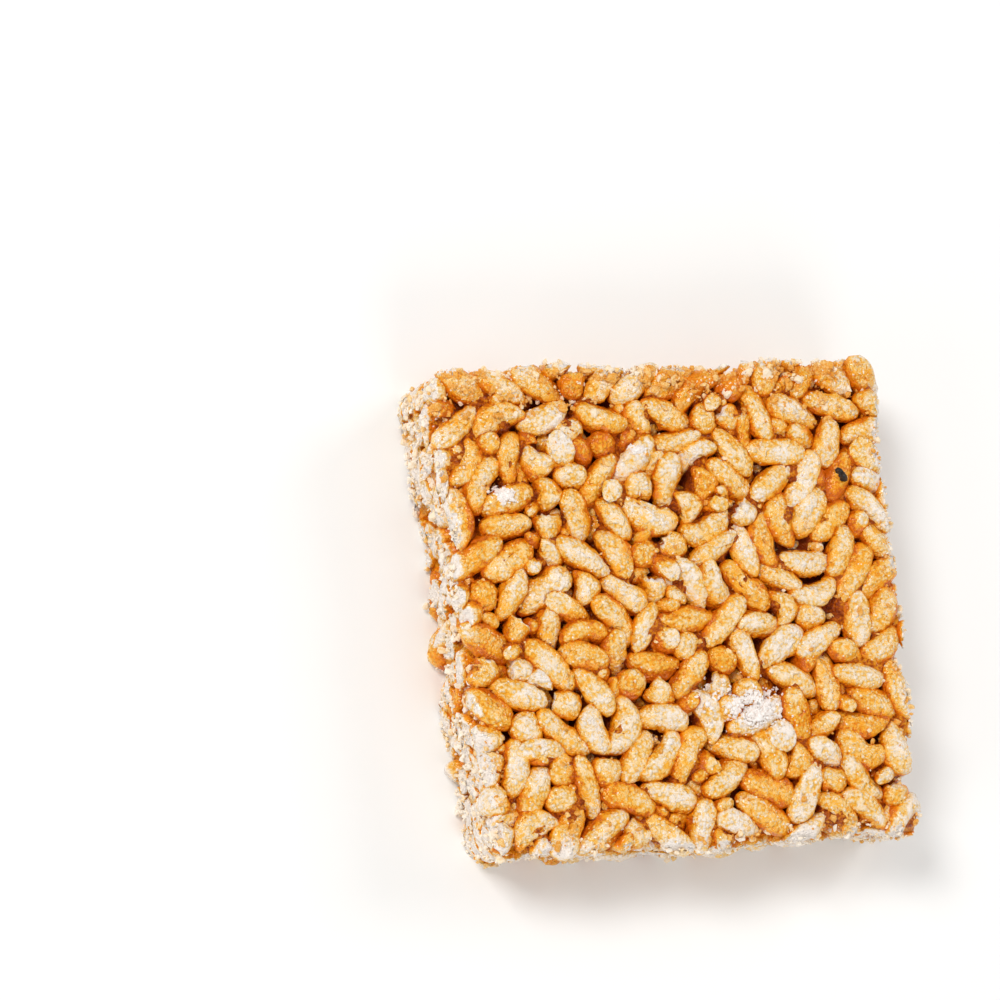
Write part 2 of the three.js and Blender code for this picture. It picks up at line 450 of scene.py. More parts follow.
@dataclass
class Packing:
    """How the grains are laid in the tray, pressed and cut."""

    length: float = 8.4
    length_spread: float = 2.0
    width: float = 3.5
    width_spread: float = 0.5
    broken_share: float = 0.26
    broken_length: float = 4.7
    broken_spread: float = 1.1
    lying_tilt: float = 9.0
    steep_share: float = 0.13
    steep_tilts: tuple[float, float] = (30.0, 80.0)
    margin: float = 4.0
    floor_area: float = 22.5
    jitter: float = 0.45
    layers: int = 5
    underside_sink: float = 0.12
    rounds: int = 10
    steps: int = 8
    reach: float = 0.9
    press: float = 0.02
    pressed_depth: float = 2.7
    whole_share: float = 0.45
    whole_overhang: float = 1.2
    least_bite: float = 1.1

    def lay(self, slab: Slab, draws: Draws) -> Grains:
        """Lays the grains out in level layers, each on its own jittered grid.

        Args:
            slab: whose sheet they fill.
            draws: the random draws.

        Returns:
            The grains, not yet pressed or cut.
        """
        half_width, half_length = slab.width / 2 + self.margin, slab.length / 2 + self.margin
        columns = round(2 * half_width / math.sqrt(self.floor_area))
        rows = round(2 * half_length / math.sqrt(self.floor_area))
        ends, lengths, radii, broken = [], [], [], []
        for layer in range(self.layers):
            for row in range(rows):
                for column in range(columns):
                    x = -half_width + (column + 0.5 + self.jitter * draws.bell()) * 2 * half_width / columns
                    y = -half_length + (row + 0.5 + self.jitter * draws.bell()) * 2 * half_length / rows
                    middle = np.array([x, y, slab.thickness * (layer + 0.5) / self.layers])
                    short = draws.uniform() < self.broken_share
                    mean = self.broken_length if short else self.length
                    spread = self.broken_spread if short else self.length_spread
                    length = mean + spread * draws.bell()
                    radius = (self.width + self.width_spread * draws.bell()) / 2
                    half = self.direction(draws) * (length / 2 - radius * Grains.LEAST_GIRTH)
                    ends.append((middle - half, middle + half))
                    lengths.append(length)
                    radii.append(radius)
                    broken.append(short)
        return Grains(np.array(ends), np.array(lengths), np.array(radii), np.array(broken))

    def direction(self, draws: Draws) -> Array:
        """Draws the direction that a grain is laid in.

        Args:
            draws: the random draws.

        Returns:
            A unit vector.
        """
        turn = draws.uniform() * math.pi
        steep = draws.uniform() < self.steep_share
        least, most = self.steep_tilts
        degrees = least + (most - least) * draws.uniform() if steep else self.lying_tilt * draws.bell()
        tilt = math.radians(degrees)
        return np.array([math.cos(tilt) * math.cos(turn), math.cos(tilt) * math.sin(turn), math.sin(tilt)])

    def close_pairs(self, grains: Grains, chunk: int = 700) -> tuple[Array, Array]:
        """Finds the beads that nearly touch.

        Args:
            grains: whose beads are compared.
            chunk: how many beads are worked out at a time.

        Returns:
            The first and the second bead of each pair, as rows of the flattened beads.
        """
        beads = grains.beads.reshape(-1, 3).astype(np.float32)
        girths = grains.girths.ravel()
        owner = np.repeat(np.arange(len(grains.radius)), len(Grains.PLACES))
        squares = (beads * beads).sum(axis=1)
        first, second = [], []
        for start in range(0, len(beads), chunk):
            part = slice(start, start + chunk)
            apart = squares[part, None] + squares[None] - 2.0 * beads[part] @ beads.T
            limit = (girths[part, None] + girths[None] + self.reach) ** 2
            i, j = np.nonzero((apart < limit) & (owner[part, None] < owner[None]))
            first.append(i + start)
            second.append(j)
        return np.concatenate(first), np.concatenate(second)

    def settle(self, grains: Grains, half_rods: Array, pairs: tuple[Array, Array], top: float) -> None:
        """Takes one step of settling: overlapping beads part, and the tray and the lid push them in.

        Args:
            grains: which are moved.
            half_rods: half the length of each rod, which it keeps.
            pairs: the beads to watch.
            top: the height of the lid.
        """
        places, girths = grains.beads.reshape(-1, 3), grains.girths.ravel()
        first, second = pairs
        away = places[second] - places[first]
        apart = np.linalg.norm(away, axis=1)
        overlap = girths[first] + girths[second] - apart
        hit = overlap > 0
        push = away[hit] * (overlap[hit] / 2 / apart[hit])[:, None]
        above = places[:, 2] + girths - top
        below = girths - self.underside_sink - places[:, 2]
        high, low = np.nonzero(above > 0)[0], np.nonzero(below > 0)[0]
        bead = np.concatenate([first[hit], second[hit], high, low])
        down, up = np.zeros((len(high), 3)), np.zeros((len(low), 3))
        down[:, 2], up[:, 2] = -above[high], below[low]
        move = np.concatenate([-push, push, down, up])
        place = Grains.PLACES[bead % len(Grains.PLACES)]
        share = 1.0 / ((1.0 - place) ** 2 + place**2)
        owner, count = bead // len(Grains.PLACES), len(grains.radius)
        touches = np.maximum(np.bincount(owner, minlength=count), 1)
        for side, weight in enumerate(((1.0 - place) * share, place * share)):
            for k in range(3):
                total = np.bincount(owner, weights=move[:, k] * weight, minlength=count)
                grains.ends[:, side, k] += total / touches
        middles = grains.middles
        middles[:, 2] += np.where(middles[:, 2] > top - self.pressed_depth, self.press, 0.0)
        middles[:, 2] -= np.where(middles[:, 2] < self.pressed_depth, self.press, 0.0)
        half = grains.axes * half_rods[:, None]
        grains.ends = np.stack([middles - half, middles + half], axis=1)

    def pack(self, slab: Slab, draws: Draws) -> Grains:
        """Lays, presses and cuts the grains.

        Args:
            slab: whose cuts are already made.
            draws: the random draws.

        Returns:
            The grains, each with its fate.
        """
        grains = self.lay(slab, draws)
        half_rods = np.linalg.norm(grains.ends[:, 1] - grains.ends[:, 0], axis=1) / 2
        for _ in range(self.rounds):
            pairs = self.close_pairs(grains)
            for _ in range(self.steps):
                self.settle(grains, half_rods, pairs, slab.thickness)
        keeps_whole = np.array([draws.uniform() < self.whole_share for _ in grains.radius])
        beyond = slab.beyond(grains.beads)
        overhang = (beyond + grains.girths).max(axis=1)
        bite = (grains.girths - beyond).max(axis=1)
        kept = keeps_whole & (overhang < self.whole_overhang) & (slab.beyond(grains.middles) < 0)
        grains.fate = np.where(bite > self.least_bite, Fate.CUT, Fate.GONE)
        grains.fate[(overhang <= 0) | kept] = Fate.WHOLE
        return grains


@dataclass
class Filling:
    """Short and broken grains that lie in the gaps just under the slab's skin."""

    slab: Slab
    tries: int = 60000
    depths: tuple[float, float] = (1.5, 3.9)
    least_gap: float = 0.72
    watched: int = 6
    watched_tips: int = 5
    swelling: float = 1.3
    lengths: tuple[float, float] = (1.4, 3.0)
    directions: int = 14

    def gaps(self, grains: Grains, rng: np.random.Generator) -> list[tuple[Array, float]]:
        """Finds the gaps between the grains, the widest first.

        Args:
            grains: packed and cut.
            rng: the random draws.

        Returns:
            The middle and the radius of each.
        """
        places = self.slab.scattered(self.tries, rng)
        depth = rng.uniform(*self.depths, (self.tries, 1))
        places = places - depth * self.slab.outward(places)
        clear = grains.distance(places, grains.nearest(places, grains.left, self.watched)).min(axis=1)
        middles, radii = np.empty((0, 3)), np.empty(0)
        for row in np.argsort(-clear):
            if clear[row] < self.least_gap:
                break
            apart = np.linalg.norm(middles - places[row], axis=1) - radii
            gap = min(clear[row], apart.min(initial=FAR))
            if gap >= self.least_gap:
                middles = np.vstack([middles, places[row]])
                radii = np.append(radii, gap)
        return list(zip(middles, radii))

    def fill(self, grains: Grains) -> Grains:
        """Fills the gaps between the grains.

        Args:
            grains: packed and cut.

        Returns:
            All the grains, with the new ones at the end.
        """
        rng = np.random.default_rng(Seed.FILLING)
        gaps = self.gaps(grains, rng)
        rows = grains.left
        ends, lengths, radii = [], [], []
        for middle, gap in gaps:
            radius = gap * self.swelling
            half = radius * rng.uniform(*self.lengths)
            ways = unit(rng.normal(size=(self.directions, 3)))
            tips = np.concatenate([middle + half * ways, middle - half * ways])
            clear = grains.distance(tips, grains.nearest(tips, rows, self.watched_tips)).min(axis=1)
            best = ways[clear.reshape(2, -1).min(axis=0).argmax()]
            rod = best * max(half - radius * Grains.LEAST_GIRTH, Grains.LEAST_ROD)
            ends.append((middle - rod, middle + rod))
            lengths.append(2 * half)
            radii.append(radius)
        count = len(gaps)
        filled = Grains(
            np.concatenate([grains.ends, np.array(ends)]),
            np.concatenate([grains.length, lengths]),
            np.concatenate([grains.radius, radii]),
            np.concatenate([grains.broken, np.ones(count, dtype=bool)]),
        )
        past = (self.slab.beyond(filled.beads[-count:]) + filled.girths[-count:]).max(axis=1) > 0
        filled.fate = np.concatenate([grains.fate, np.where(past, Fate.CUT, Fate.WHOLE)])
        log.info("filled %d gaps", count)
        return filled


@dataclass
class Ripple:
    """A smooth uneven field in space, the sum of waves in many directions, about -1 to 1."""

    wavelength: float
    seed: int
    waves: int = 14
    spread: float = 0.45
    height: float = 0.7

    def __call__(self, places: Array) -> Array:
        """Reads the field.

        Args:
            places: (..., 3) array.

        Returns:
            A (...) array.
        """
        rng = np.random.default_rng(self.seed)
        direction = unit(rng.normal(size=(self.waves, 3)))
        length = self.wavelength * (1.0 + self.spread * rng.uniform(-1.0, 1.0, self.waves))
        phase = rng.uniform(0.0, 2.0 * math.pi, self.waves)
        angle = places @ (direction * (2.0 * math.pi / length)[:, None]).T + phase
        return np.sin(angle).sum(-1) / math.sqrt(self.waves / 2.0) * self.height


@dataclass
class Template:
    """A small closed mesh that is copied many times: its points, its faces and their map."""

    points: Array
    corners: Array
    sizes: Array
    map: Array

    @classmethod
    def spindle(cls, around: int, rings: int) -> Template:
        """Makes a unit ball with its poles on Z, for grains.

        Args:
            around: points round each ring.
            rings: steps from pole to pole.

        Returns:
            The template.
        """
        bm = bmesh.new()
        bmesh.ops.create_uvsphere(bm, u_segments=around, v_segments=rings, radius=1.0)
        return cls.taken_from(bm)

    @classmethod
    def pebble(cls, subdivisions: int) -> Template:
        """Makes a unit ball of even triangles, for crumbs.

        Args:
            subdivisions: how finely it is divided.

        Returns:
            The template.
        """
        bm = bmesh.new()
        bmesh.ops.create_icosphere(bm, subdivisions=subdivisions, radius=1.0)
        return cls.taken_from(bm)

    @classmethod
    def taken_from(cls, bm: bmesh.types.BMesh) -> Template:
        """Takes a ball as a template, mapped by angle and height, and frees it.

        Args:
            bm: the ball.

        Returns:
            The template.
        """
        bm.verts.index_update()
        points = np.array([vert.co[:] for vert in bm.verts])
        corners, sizes, places = [], [], []
        for face in bm.faces:
            rows = [vert.index for vert in face.verts]
            turn = np.arctan2(points[rows, 1], points[rows, 0]) / (2.0 * math.pi)
            at_pole = np.abs(points[rows, 2]) > 1.0 - 1e-5
            others = turn[~at_pole]
            if np.ptp(others) > 0.5:
                turn = np.where(turn < 0.0, turn + 1.0, turn)
                others = turn[~at_pole]
            turn = np.where(at_pole, others.mean(), turn)
            rise = np.arcsin(np.clip(points[rows, 2], -1.0, 1.0)) / math.pi + 0.5
            corners.extend(rows)
            sizes.append(len(rows))
            places.append(np.stack([(turn + 0.5) / 1.5, rise], axis=1))
        bm.free()
        return cls(points, np.array(corners), np.array(sizes), np.concatenate(places))

    @property
    def along(self) -> Array:
        """Where each point lies from pole to pole, -1 to 1, in one row."""
        return self.points[None, :, 2]

    @property
    def angle(self) -> Array:
        """How far round the poles each point lies, in radians, in one row."""
        return np.arctan2(self.points[:, 1], self.points[:, 0])[None]

    @property
    def triangles(self) -> int:
        """The number of triangles in one copy."""
        return int((self.sizes - 2).sum())


def placed(name: str, data: bpy.types.ID) -> bpy.types.Object:
    """Makes an object and puts it in the scene.

    Args:
        name: of the object.
        data: its mesh, lamp or camera.

    Returns:
        The object.
    """
    made = bpy.data.objects.new(name, data)
    bpy.context.scene.collection.objects.link(made)
    return made


def joined_copies(
    name: str, template: Template, places: Array, slab: Slab, smooth: bool = True
) -> bpy.types.Object:
    """Makes one object that holds many shaped copies of a template.

    Args:
        name: of the object.
        template: whose faces each copy has.
        places: (copies, points, 3) array in millimetres.
        slab: whose middle goes over the origin.
        smooth: whether the faces are shaded as one smooth skin.

    Returns:
        The object.
    """
    copies, points = places.shape[:2]
    shift = (np.arange(copies) * points)[:, None]
    corners = (template.corners[None] + shift).ravel()
    sizes = np.tile(template.sizes, copies)
    mesh = bpy.data.meshes.new(name)
    mesh.vertices.add(copies * points)
    mesh.vertices.foreach_set("co", slab.to_part(places).ravel())
    mesh.loops.add(len(corners))
    mesh.loops.foreach_set("vertex_index", corners)
    mesh.polygons.add(len(sizes))
    mesh.polygons.foreach_set("loop_start", np.concatenate([[0], np.cumsum(sizes)[:-1]]))
    mesh.polygons.foreach_set("loop_total", sizes)
    mesh.polygons.foreach_set("use_smooth", np.full(len(sizes), smooth))
    mesh.update(calc_edges=True)
    across = math.ceil(math.sqrt(copies))
    cell = np.stack([np.arange(copies) % across, np.arange(copies) // across], axis=1)
    inset = MAP_MARGIN + (1.0 - 2.0 * MAP_MARGIN) * template.map
    layer = mesh.uv_layers.new(name=BAKE_MAP)
    layer.data.foreach_set("uv", ((cell[:, None] + inset[None]) / across).ravel())
    return placed(name, mesh)


def write_attribute(piece: bpy.types.Object, name: str, values: Array) -> None:
    """Stores one number for each point of a piece, for its material to read."""
    layer = piece.data.attributes.new(name=name, type="FLOAT", domain="POINT")
    layer.data.foreach_set("value", np.ascontiguousarray(values, dtype=np.float32).ravel())


def write_vectors(piece: bpy.types.Object, name: str, values: Array) -> None:
    """Stores one vector in millimetres for each point of a piece, for its material to read."""
    layer = piece.data.attributes.new(name=name, type="FLOAT_VECTOR", domain="POINT")
    layer.data.foreach_set("vector", np.ascontiguousarray(values, dtype=np.float32).ravel())


class Character(Enum):
    """How a marked grain differs from the rest, as its pallor, frosting and glaze."""

    PALE = (1.0, 0.55, 0.1)
    WHITE = (1.0, 1.0, 0.0)
    GLAZED = (-0.9, -0.4, 1.0)


@dataclass(frozen=True)
class Mark:
    """A grain that stands out, by where it lies on the shown face."""

    x: float
    y: float
    character: Character


@dataclass
class GrainDraws:
    """Random draws for a row of grains, one for each grain at a time."""

    rng: np.random.Generator
    count: int

    def between(self, low: float, high: float) -> Array:
        """Returns a column of draws between two numbers."""
        return self.rng.uniform(low, high, (self.count, 1))

    def happens(self, share: float) -> Array:
        """Returns a column that is true for about a share of the grains."""
        return self.rng.random((self.count, 1)) < share

    def turn(self) -> Array:
        """Returns a column of angles all the way round."""
        return self.between(0, 6.3)


@dataclass
class GrainShaper:
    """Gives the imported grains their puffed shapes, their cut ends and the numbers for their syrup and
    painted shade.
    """

    slab: Slab
    grains: Grains
    plumpness: float = 1.14
    flattening: tuple[float, float] = (0.88, 1.0)
    bluntness: tuple[float, float] = (1.35, 3.3)
    ball_power: float = 0.52
    egg: float = 0.22
    waisted_share: float = 0.4
    waist: float = 0.18
    waist_width: float = 0.24
    waist_places: tuple[float, float] = (-0.25, 0.25)
    bend: float = 0.5
    sway: float = 2.2
    lean: float = 0.5
    still_place: float = 0.45
    twist: float = 0.6
    lobes: float = 0.12
    crease: float = 0.28
    crease_width: float = 0.24
    bumps: int = 20
    bump_height: float = 0.2
    bump_sizes: tuple[float, float] = (0.15, 0.45)
    bump_places: tuple[float, float] = (-0.9, 0.9)
    pebbling: float = 0.085
    pebble_size: float = 0.75
    snap_slant: float = 0.22
    snap_round: float = 0.07
    snap_relief: float = 0.22
    snap_crumb: float = 0.8
    snap_dryness: float = 0.45
    seam_width: float = 0.34
    seam_reach: float = 1.0
    streaking: float = 0.62
    streak_spread: float = 50.0
    lid: float = 16.35
    lid_blur: float = 0.28
    edge_band: float = 4.0
    outer_layer: float = 3.0
    anchor_depth: float = 0.4
    plate_relief: float = 0.3
    plate_swell: float = 2.2
    plate_crumb: float = 0.9
    crust_from: float = 27.0
    crust_width: float = 4.0
    marked_depth: float = 3.2
    mark_reach: float = 3.0
    marks: tuple[Mark, ...] = (
        Mark(1.5, -13.9, Character.GLAZED),
        Mark(-10.9, -17.7, Character.PALE),
        Mark(18.8, 7.2, Character.WHITE),
        Mark(-17.9, 25.7, Character.WHITE),
        Mark(-9.9, 19.7, Character.GLAZED),
        Mark(25.0, 16.8, Character.GLAZED),
        Mark(4.0, -12.7, Character.WHITE),
        Mark(7.5, -13.0, Character.WHITE),
        Mark(11.1, -16.7, Character.WHITE),
    )

    def girths(self, template: Template, rows: Array, draws: GrainDraws) -> Array:
        """Draws how thick each grain is at each point: blunt or egg-like, waisted, creased and bumpy.

        Args:
            template: the unit ball that each grain is shaped from.
            rows: the grains to shape.
            draws: the random draws.

        Returns:
            A (grains, points) array, as shares of the grain's radius.
        """
        draw = draws.between
        along, angle = template.along, template.angle
        blunt = np.where(along < 0, draw(*self.bluntness), draw(*self.bluntness))
        girth = np.maximum(1.0 - np.abs(along) ** blunt, 0.0) ** self.ball_power
        girth = girth * (1.0 + self.egg * draw(-1, 1) * along)
        waist = self.waist * draws.happens(self.waisted_share) * draw(0.4, 1)
        off_waist = along - draw(*self.waist_places)
        girth = girth * (1.0 - waist * np.exp(-((off_waist / self.waist_width) ** 2)))
        twist = draw(-self.twist, self.twist) * along
        girth = girth * (1.0 + self.lobes * draw(0, 1) * np.cos(2 * angle + draws.turn() + twist))
        girth = girth * (1.0 + self.lobes * draw(0, 1) * np.cos(3 * angle + draws.turn() - twist))
        off_crease = np.angle(np.exp(1j * (angle - draws.turn() + twist)))
        crease = self.crease * draw(0, 1) * np.exp(-((off_crease / self.crease_width) ** 2))
        girth = girth * (1.0 - crease * (1.0 - along**4))
        length, width = self.grains.length[rows, None], 2 * self.grains.radius[rows, None]
        for _ in range(self.bumps):
            off = np.angle(np.exp(1j * (angle - draws.turn()))) * np.sqrt(1.0 - along**2 + 0.05)
            rise = (along - draw(*self.bump_places)) * length / width
            size = draw(*self.bump_sizes)
            bump = self.bump_height * draw(-1, 1) * np.exp(-(off**2 + rise**2) / size**2)
            girth = girth * (1.0 + bump)
        return girth

    def puffed(self, template: Template, rows: Array, rng: np.random.Generator) -> tuple[Array, Array]:
        """Shapes puffed grains, lumpy, bent and creased, with one end snapped off some broken ones.

        Args:
            template: the unit ball that each grain is shaped from.
            rows: the grains to shape.
            rng: the random draws.

        Returns:
            Their (grains, points, 3) places, and 1 on the snapped ends and 0 elsewhere.
        """
        draws = GrainDraws(rng, len(rows))
        girth = self.girths(template, rows, draws)
        along, angle = template.along, template.angle
        radius = self.grains.radius[rows, None] * self.plumpness
        axis = self.grains.axes[rows]
        side = unit(np.stack([axis[:, 1], -axis[:, 0], np.zeros(len(rows))], axis=1))
        up = np.cross(side, axis)
        bow = self.still_place - along**2
        sway = self.bend * draws.between(-1, 1) ** 3 * self.sway * radius * bow
        lean = self.bend * self.lean * draws.between(-1, 1) ** 3 * radius * bow
        flat = draws.between(*self.flattening)
        sideways = radius * girth * np.cos(angle) + sway
        upwards = radius * girth * np.sin(angle) * flat + lean
        slant = self.snap_slant * girth * np.cos(angle - draws.turn())
        snap = self.grains.snap[rows, None] + slant
        snapped = along > snap
        ending = snap - self.snap_round * np.logaddexp(0.0, (snap - along) / self.snap_round)
        lengthways = ending * self.grains.length[rows, None] / 2
        places = self.grains.middles[rows, None] + lengthways[..., None] * axis[:, None]
        places = places + sideways[..., None] * side[:, None] + upwards[..., None] * up[:, None]
        out = unit(places - self.grains.middles[rows, None] - lengthways[..., None] * axis[:, None])
        pebbles = self.pebbling * Ripple(self.pebble_size, Seed.PEBBLING)(places)
        rough = self.snap_relief * Ripple(self.snap_crumb, Seed.SNAPPED_ENDS)(places) * snapped
        places = places + pebbles[..., None] * out + rough[..., None] * axis[:, None]
        return places, snapped.astype(float)

    def press(self, places: Array) -> tuple[Array, Array]:
        """Presses places flat under the lid.

        Args:
            places: (..., 3) array.

        Returns:
            The new places, and how hard each is pressed, from 0 to 1.
        """
        above = (places[..., 2] - self.lid) / self.lid_blur
        places = places.copy()
        places[..., 2] = self.lid - self.lid_blur * np.logaddexp(0.0, -above)
        return places, 1.0 / (1.0 + np.exp(-np.clip(above, -30.0, 30.0)))

    def cut_back(self, places: Array, rows: Array, halvings: int = 14) -> tuple[Array, Array]:
        """Cuts grains at the slab's surface, each towards a place inside it.

        Args:
            places: (grains, points, 3) array.
            rows: which grains they are.
            halvings: how finely the surface is found.

        Returns:
            The new places, and 1 on the cut plates and 0 elsewhere.
        """
        beads = self.grains.beads[rows]
        beyond = self.slab.beyond(beads)
        deepest = beyond.argmin(axis=1)
        pick = np.arange(len(rows))
        anchor, height = beads[pick, deepest], beyond[pick, deepest]
        anchor = anchor - np.maximum(height + self.anchor_depth, 0.0)[:, None] * self.slab.outward(anchor)
        is_cut = (self.grains.fate[rows] == Fate.CUT)[:, None]
        past = (self.slab.beyond(places) > 0) & is_cut
        near = np.zeros(places.shape[:2])
        far = np.ones(places.shape[:2])
        for _ in range(halvings):
            share = (near + far) / 2
            inside = self.slab.beyond(anchor[:, None] + share[..., None] * (places - anchor[:, None])) < 0
            near = np.where(inside, share, near)
            far = np.where(inside, far, share)
        on_plate = anchor[:, None] + near[..., None] * (places - anchor[:, None])
        crumb = Ripple(self.plate_crumb, Seed.PLATES)(on_plate)
        swell = Ripple(self.plate_swell, Seed.PLATE_SWELLS)(on_plate)
        relief = self.plate_relief * (0.6 + 0.5 * crumb + 0.6 * swell)
        on_plate = on_plate - relief[..., None] * self.slab.outward(on_plate)
        return np.where(past[..., None], on_plate, places), past.astype(float)

    def seams(self, places: Array, rows: Array) -> Array:
        """Measures how close each point is to a neighbouring grain.

        Args:
            places: (grains, points, 3) array.
            rows: which grains they are.

        Returns:
            A (grains, points) array: 1 where they touch, 0 well away.
        """
        around = self.grains.neighbours(rows, self.seam_reach)
        gap = np.full(places.shape[:2], FAR)
        for k in range(around.shape[1]):
            which = np.repeat(around[:, None, k : k + 1], places.shape[1], axis=1)
            gap = np.minimum(gap, self.grains.distance(places, which)[..., 0])
        return np.exp(-np.maximum(gap, 0.0) / self.seam_width)

    def flanks(self, places: Array, rows: Array) -> Array:
        """Measures how far each point is turned away from the slab's outside.

        Args:
            places: (grains, points, 3) array.
            rows: which grains they are.

        Returns:
            A (grains, points) array: 0 on the side that shows, 1 on the flanks, 2 at the back.
        """
        start, rod = self.grains.ends[rows, 0], self.grains.ends[rows, 1] - self.grains.ends[rows, 0]
        offset = places - start[:, None]
        share = np.einsum("npi,ni->np", offset, rod) / (rod * rod).sum(-1)[:, None]
        out = unit(offset - np.clip(share, 0.0, 1.0)[..., None] * rod[:, None])
        middles = self.grains.middles[rows]
        facing = np.einsum("npi,ni->np", out, self.slab.outward(middles))
        at_top = middles[:, 2] > self.slab.thickness - self.outer_layer
        at_bottom = middles[:, 2] < self.outer_layer
        facing = np.where(at_top[:, None], np.maximum(facing, out[..., 2]), facing)
        facing = np.where(at_bottom[:, None], np.maximum(facing, -out[..., 2]), facing)
        return 1.0 - facing

    def traits(self, rows: Array, rng: np.random.Generator) -> Array:
        """Draws the character of each grain, and gives the marked ones theirs.

        Args:
            rows: the grains.
            rng: the random draws.

        Returns:
            Pallor, frosting and glaze, (grains, 3).
        """
        traits = np.stack([rng.uniform(-1, 1, len(rows)) for _ in range(3)], axis=1)
        traits[:, 2] = rng.random(len(rows)) ** 3
        middles = self.grains.middles[rows]
        high = middles[:, 2] > self.slab.thickness - self.marked_depth
        x, y = middles[:, 0] - self.slab.middle[0], middles[:, 1] - self.slab.middle[1]
        for mark in self.marks:
            apart = np.where(high, np.hypot(x - mark.x, y - mark.y), FAR)
            if apart.min() < self.mark_reach:
                traits[apart.argmin()] = mark.character.value
        return traits

    def shape(self, name: str, rows: Array, template: Template, seed: int) -> bpy.types.Object:
        """Makes the joined object of some grains, with what their material reads.

        Args:
            name: of the object.
            rows: the grains.
            template: the unit ball that each is shaped from.
            seed: of the shapes' random draws.

        Returns:
            The object.
        """
        rng = np.random.default_rng(seed)
        places, snapped = self.puffed(template, rows, rng)
        places, pressed = self.press(places)
        places, plate = self.cut_back(places, rows)
        piece = joined_copies(name, template, places, self.slab)
        traits = self.traits(rows, rng)
        axis = self.grains.axes[rows][:, None]
        streaks = places - self.streaking * np.sum(places * axis, axis=-1, keepdims=True) * axis
        streaks = streaks + rng.uniform(-self.streak_spread, self.streak_spread, (len(rows), 1, 3))
        write_vectors(piece, "streaks", streaks)
        edge = 1.0 + self.slab.beyond_outline(places) / self.edge_band
        crust = (places[..., 1] - self.slab.middle[1] - self.crust_from) / self.crust_width
        # Seam, flank and depth are read for the syrup and for painted shade at seams, on flanks and deep in
        # the slab.
        values = {
            "pallor": np.broadcast_to(traits[:, 0, None], edge.shape),
            "frosting": np.broadcast_to(traits[:, 1, None], edge.shape),
            "glaze": np.broadcast_to(traits[:, 2, None], edge.shape),
            "seam": self.seams(places, rows),
            "plate": np.maximum(plate, self.snap_dryness * snapped),
            "flank": self.flanks(places, rows) * (1.0 - pressed),
            "pressed": pressed,
            "edge": np.clip(edge, 0.0, 1.0),
            "crust": np.clip(crust, 0.0, 1.0),
            "depth": np.maximum(-self.slab.beyond(places) - self.slab.face_slack, 0.0),
        }
        for label, numbers in values.items():
            write_attribute(piece, label, numbers)
        log.info("%s: %d grains, %d triangles", name, len(rows), len(rows) * template.triangles)
        return piece


@dataclass
class GrainGroups:
    """Sorts the grains into the pieces that they are made as."""

    slab: Slab
    grains: Grains
    face_depth: float = 3.4
    wall_reach: float = 0.9
    seen_depth: float = 5.2

    def at_wall(self) -> Array:
        """Returns which grains show at a cut."""
        reach = self.slab.beyond_outline(self.grains.beads) + self.grains.girths
        return (reach > -self.wall_reach).any(axis=1)

    def rows(self, wanted: Array) -> Array:
        """Returns the rows of the wanted grains that the knife left."""
        return np.nonzero(wanted & (self.grains.fate != Fate.GONE))[0]

    def groups(self) -> dict[str, Array]:
        """Sorts the grains.

        Returns:
            The rows of each group by name.
        """
        height = self.grains.middles[:, 2]
        wall = self.at_wall()
        top = ~wall & (height > self.slab.thickness - self.face_depth)
        under = ~wall & (height < self.face_depth)
        reach = (self.slab.beyond(self.grains.beads) + self.grains.girths).max(axis=1)
        inner = ~wall & ~top & ~under & (reach > -self.seen_depth)
        return {
            "face_long": self.rows(top & ~self.grains.broken),
            "face_short": self.rows(top & self.grains.broken),
            "wall_whole": self.rows(wall & (self.grains.fate == Fate.WHOLE)),
            "wall_cut": self.rows(wall & (self.grains.fate == Fate.CUT)),
            "underside": self.rows(under),
            "inner": self.rows(inner),
        }


@dataclass(frozen=True)
class Side:
    """One side of the syrup's box: how the unit grid is turned on to it, and its cell of the map."""

    turn: Matrix
    across: float
    along: float
    cell: tuple[float, float, float, float]


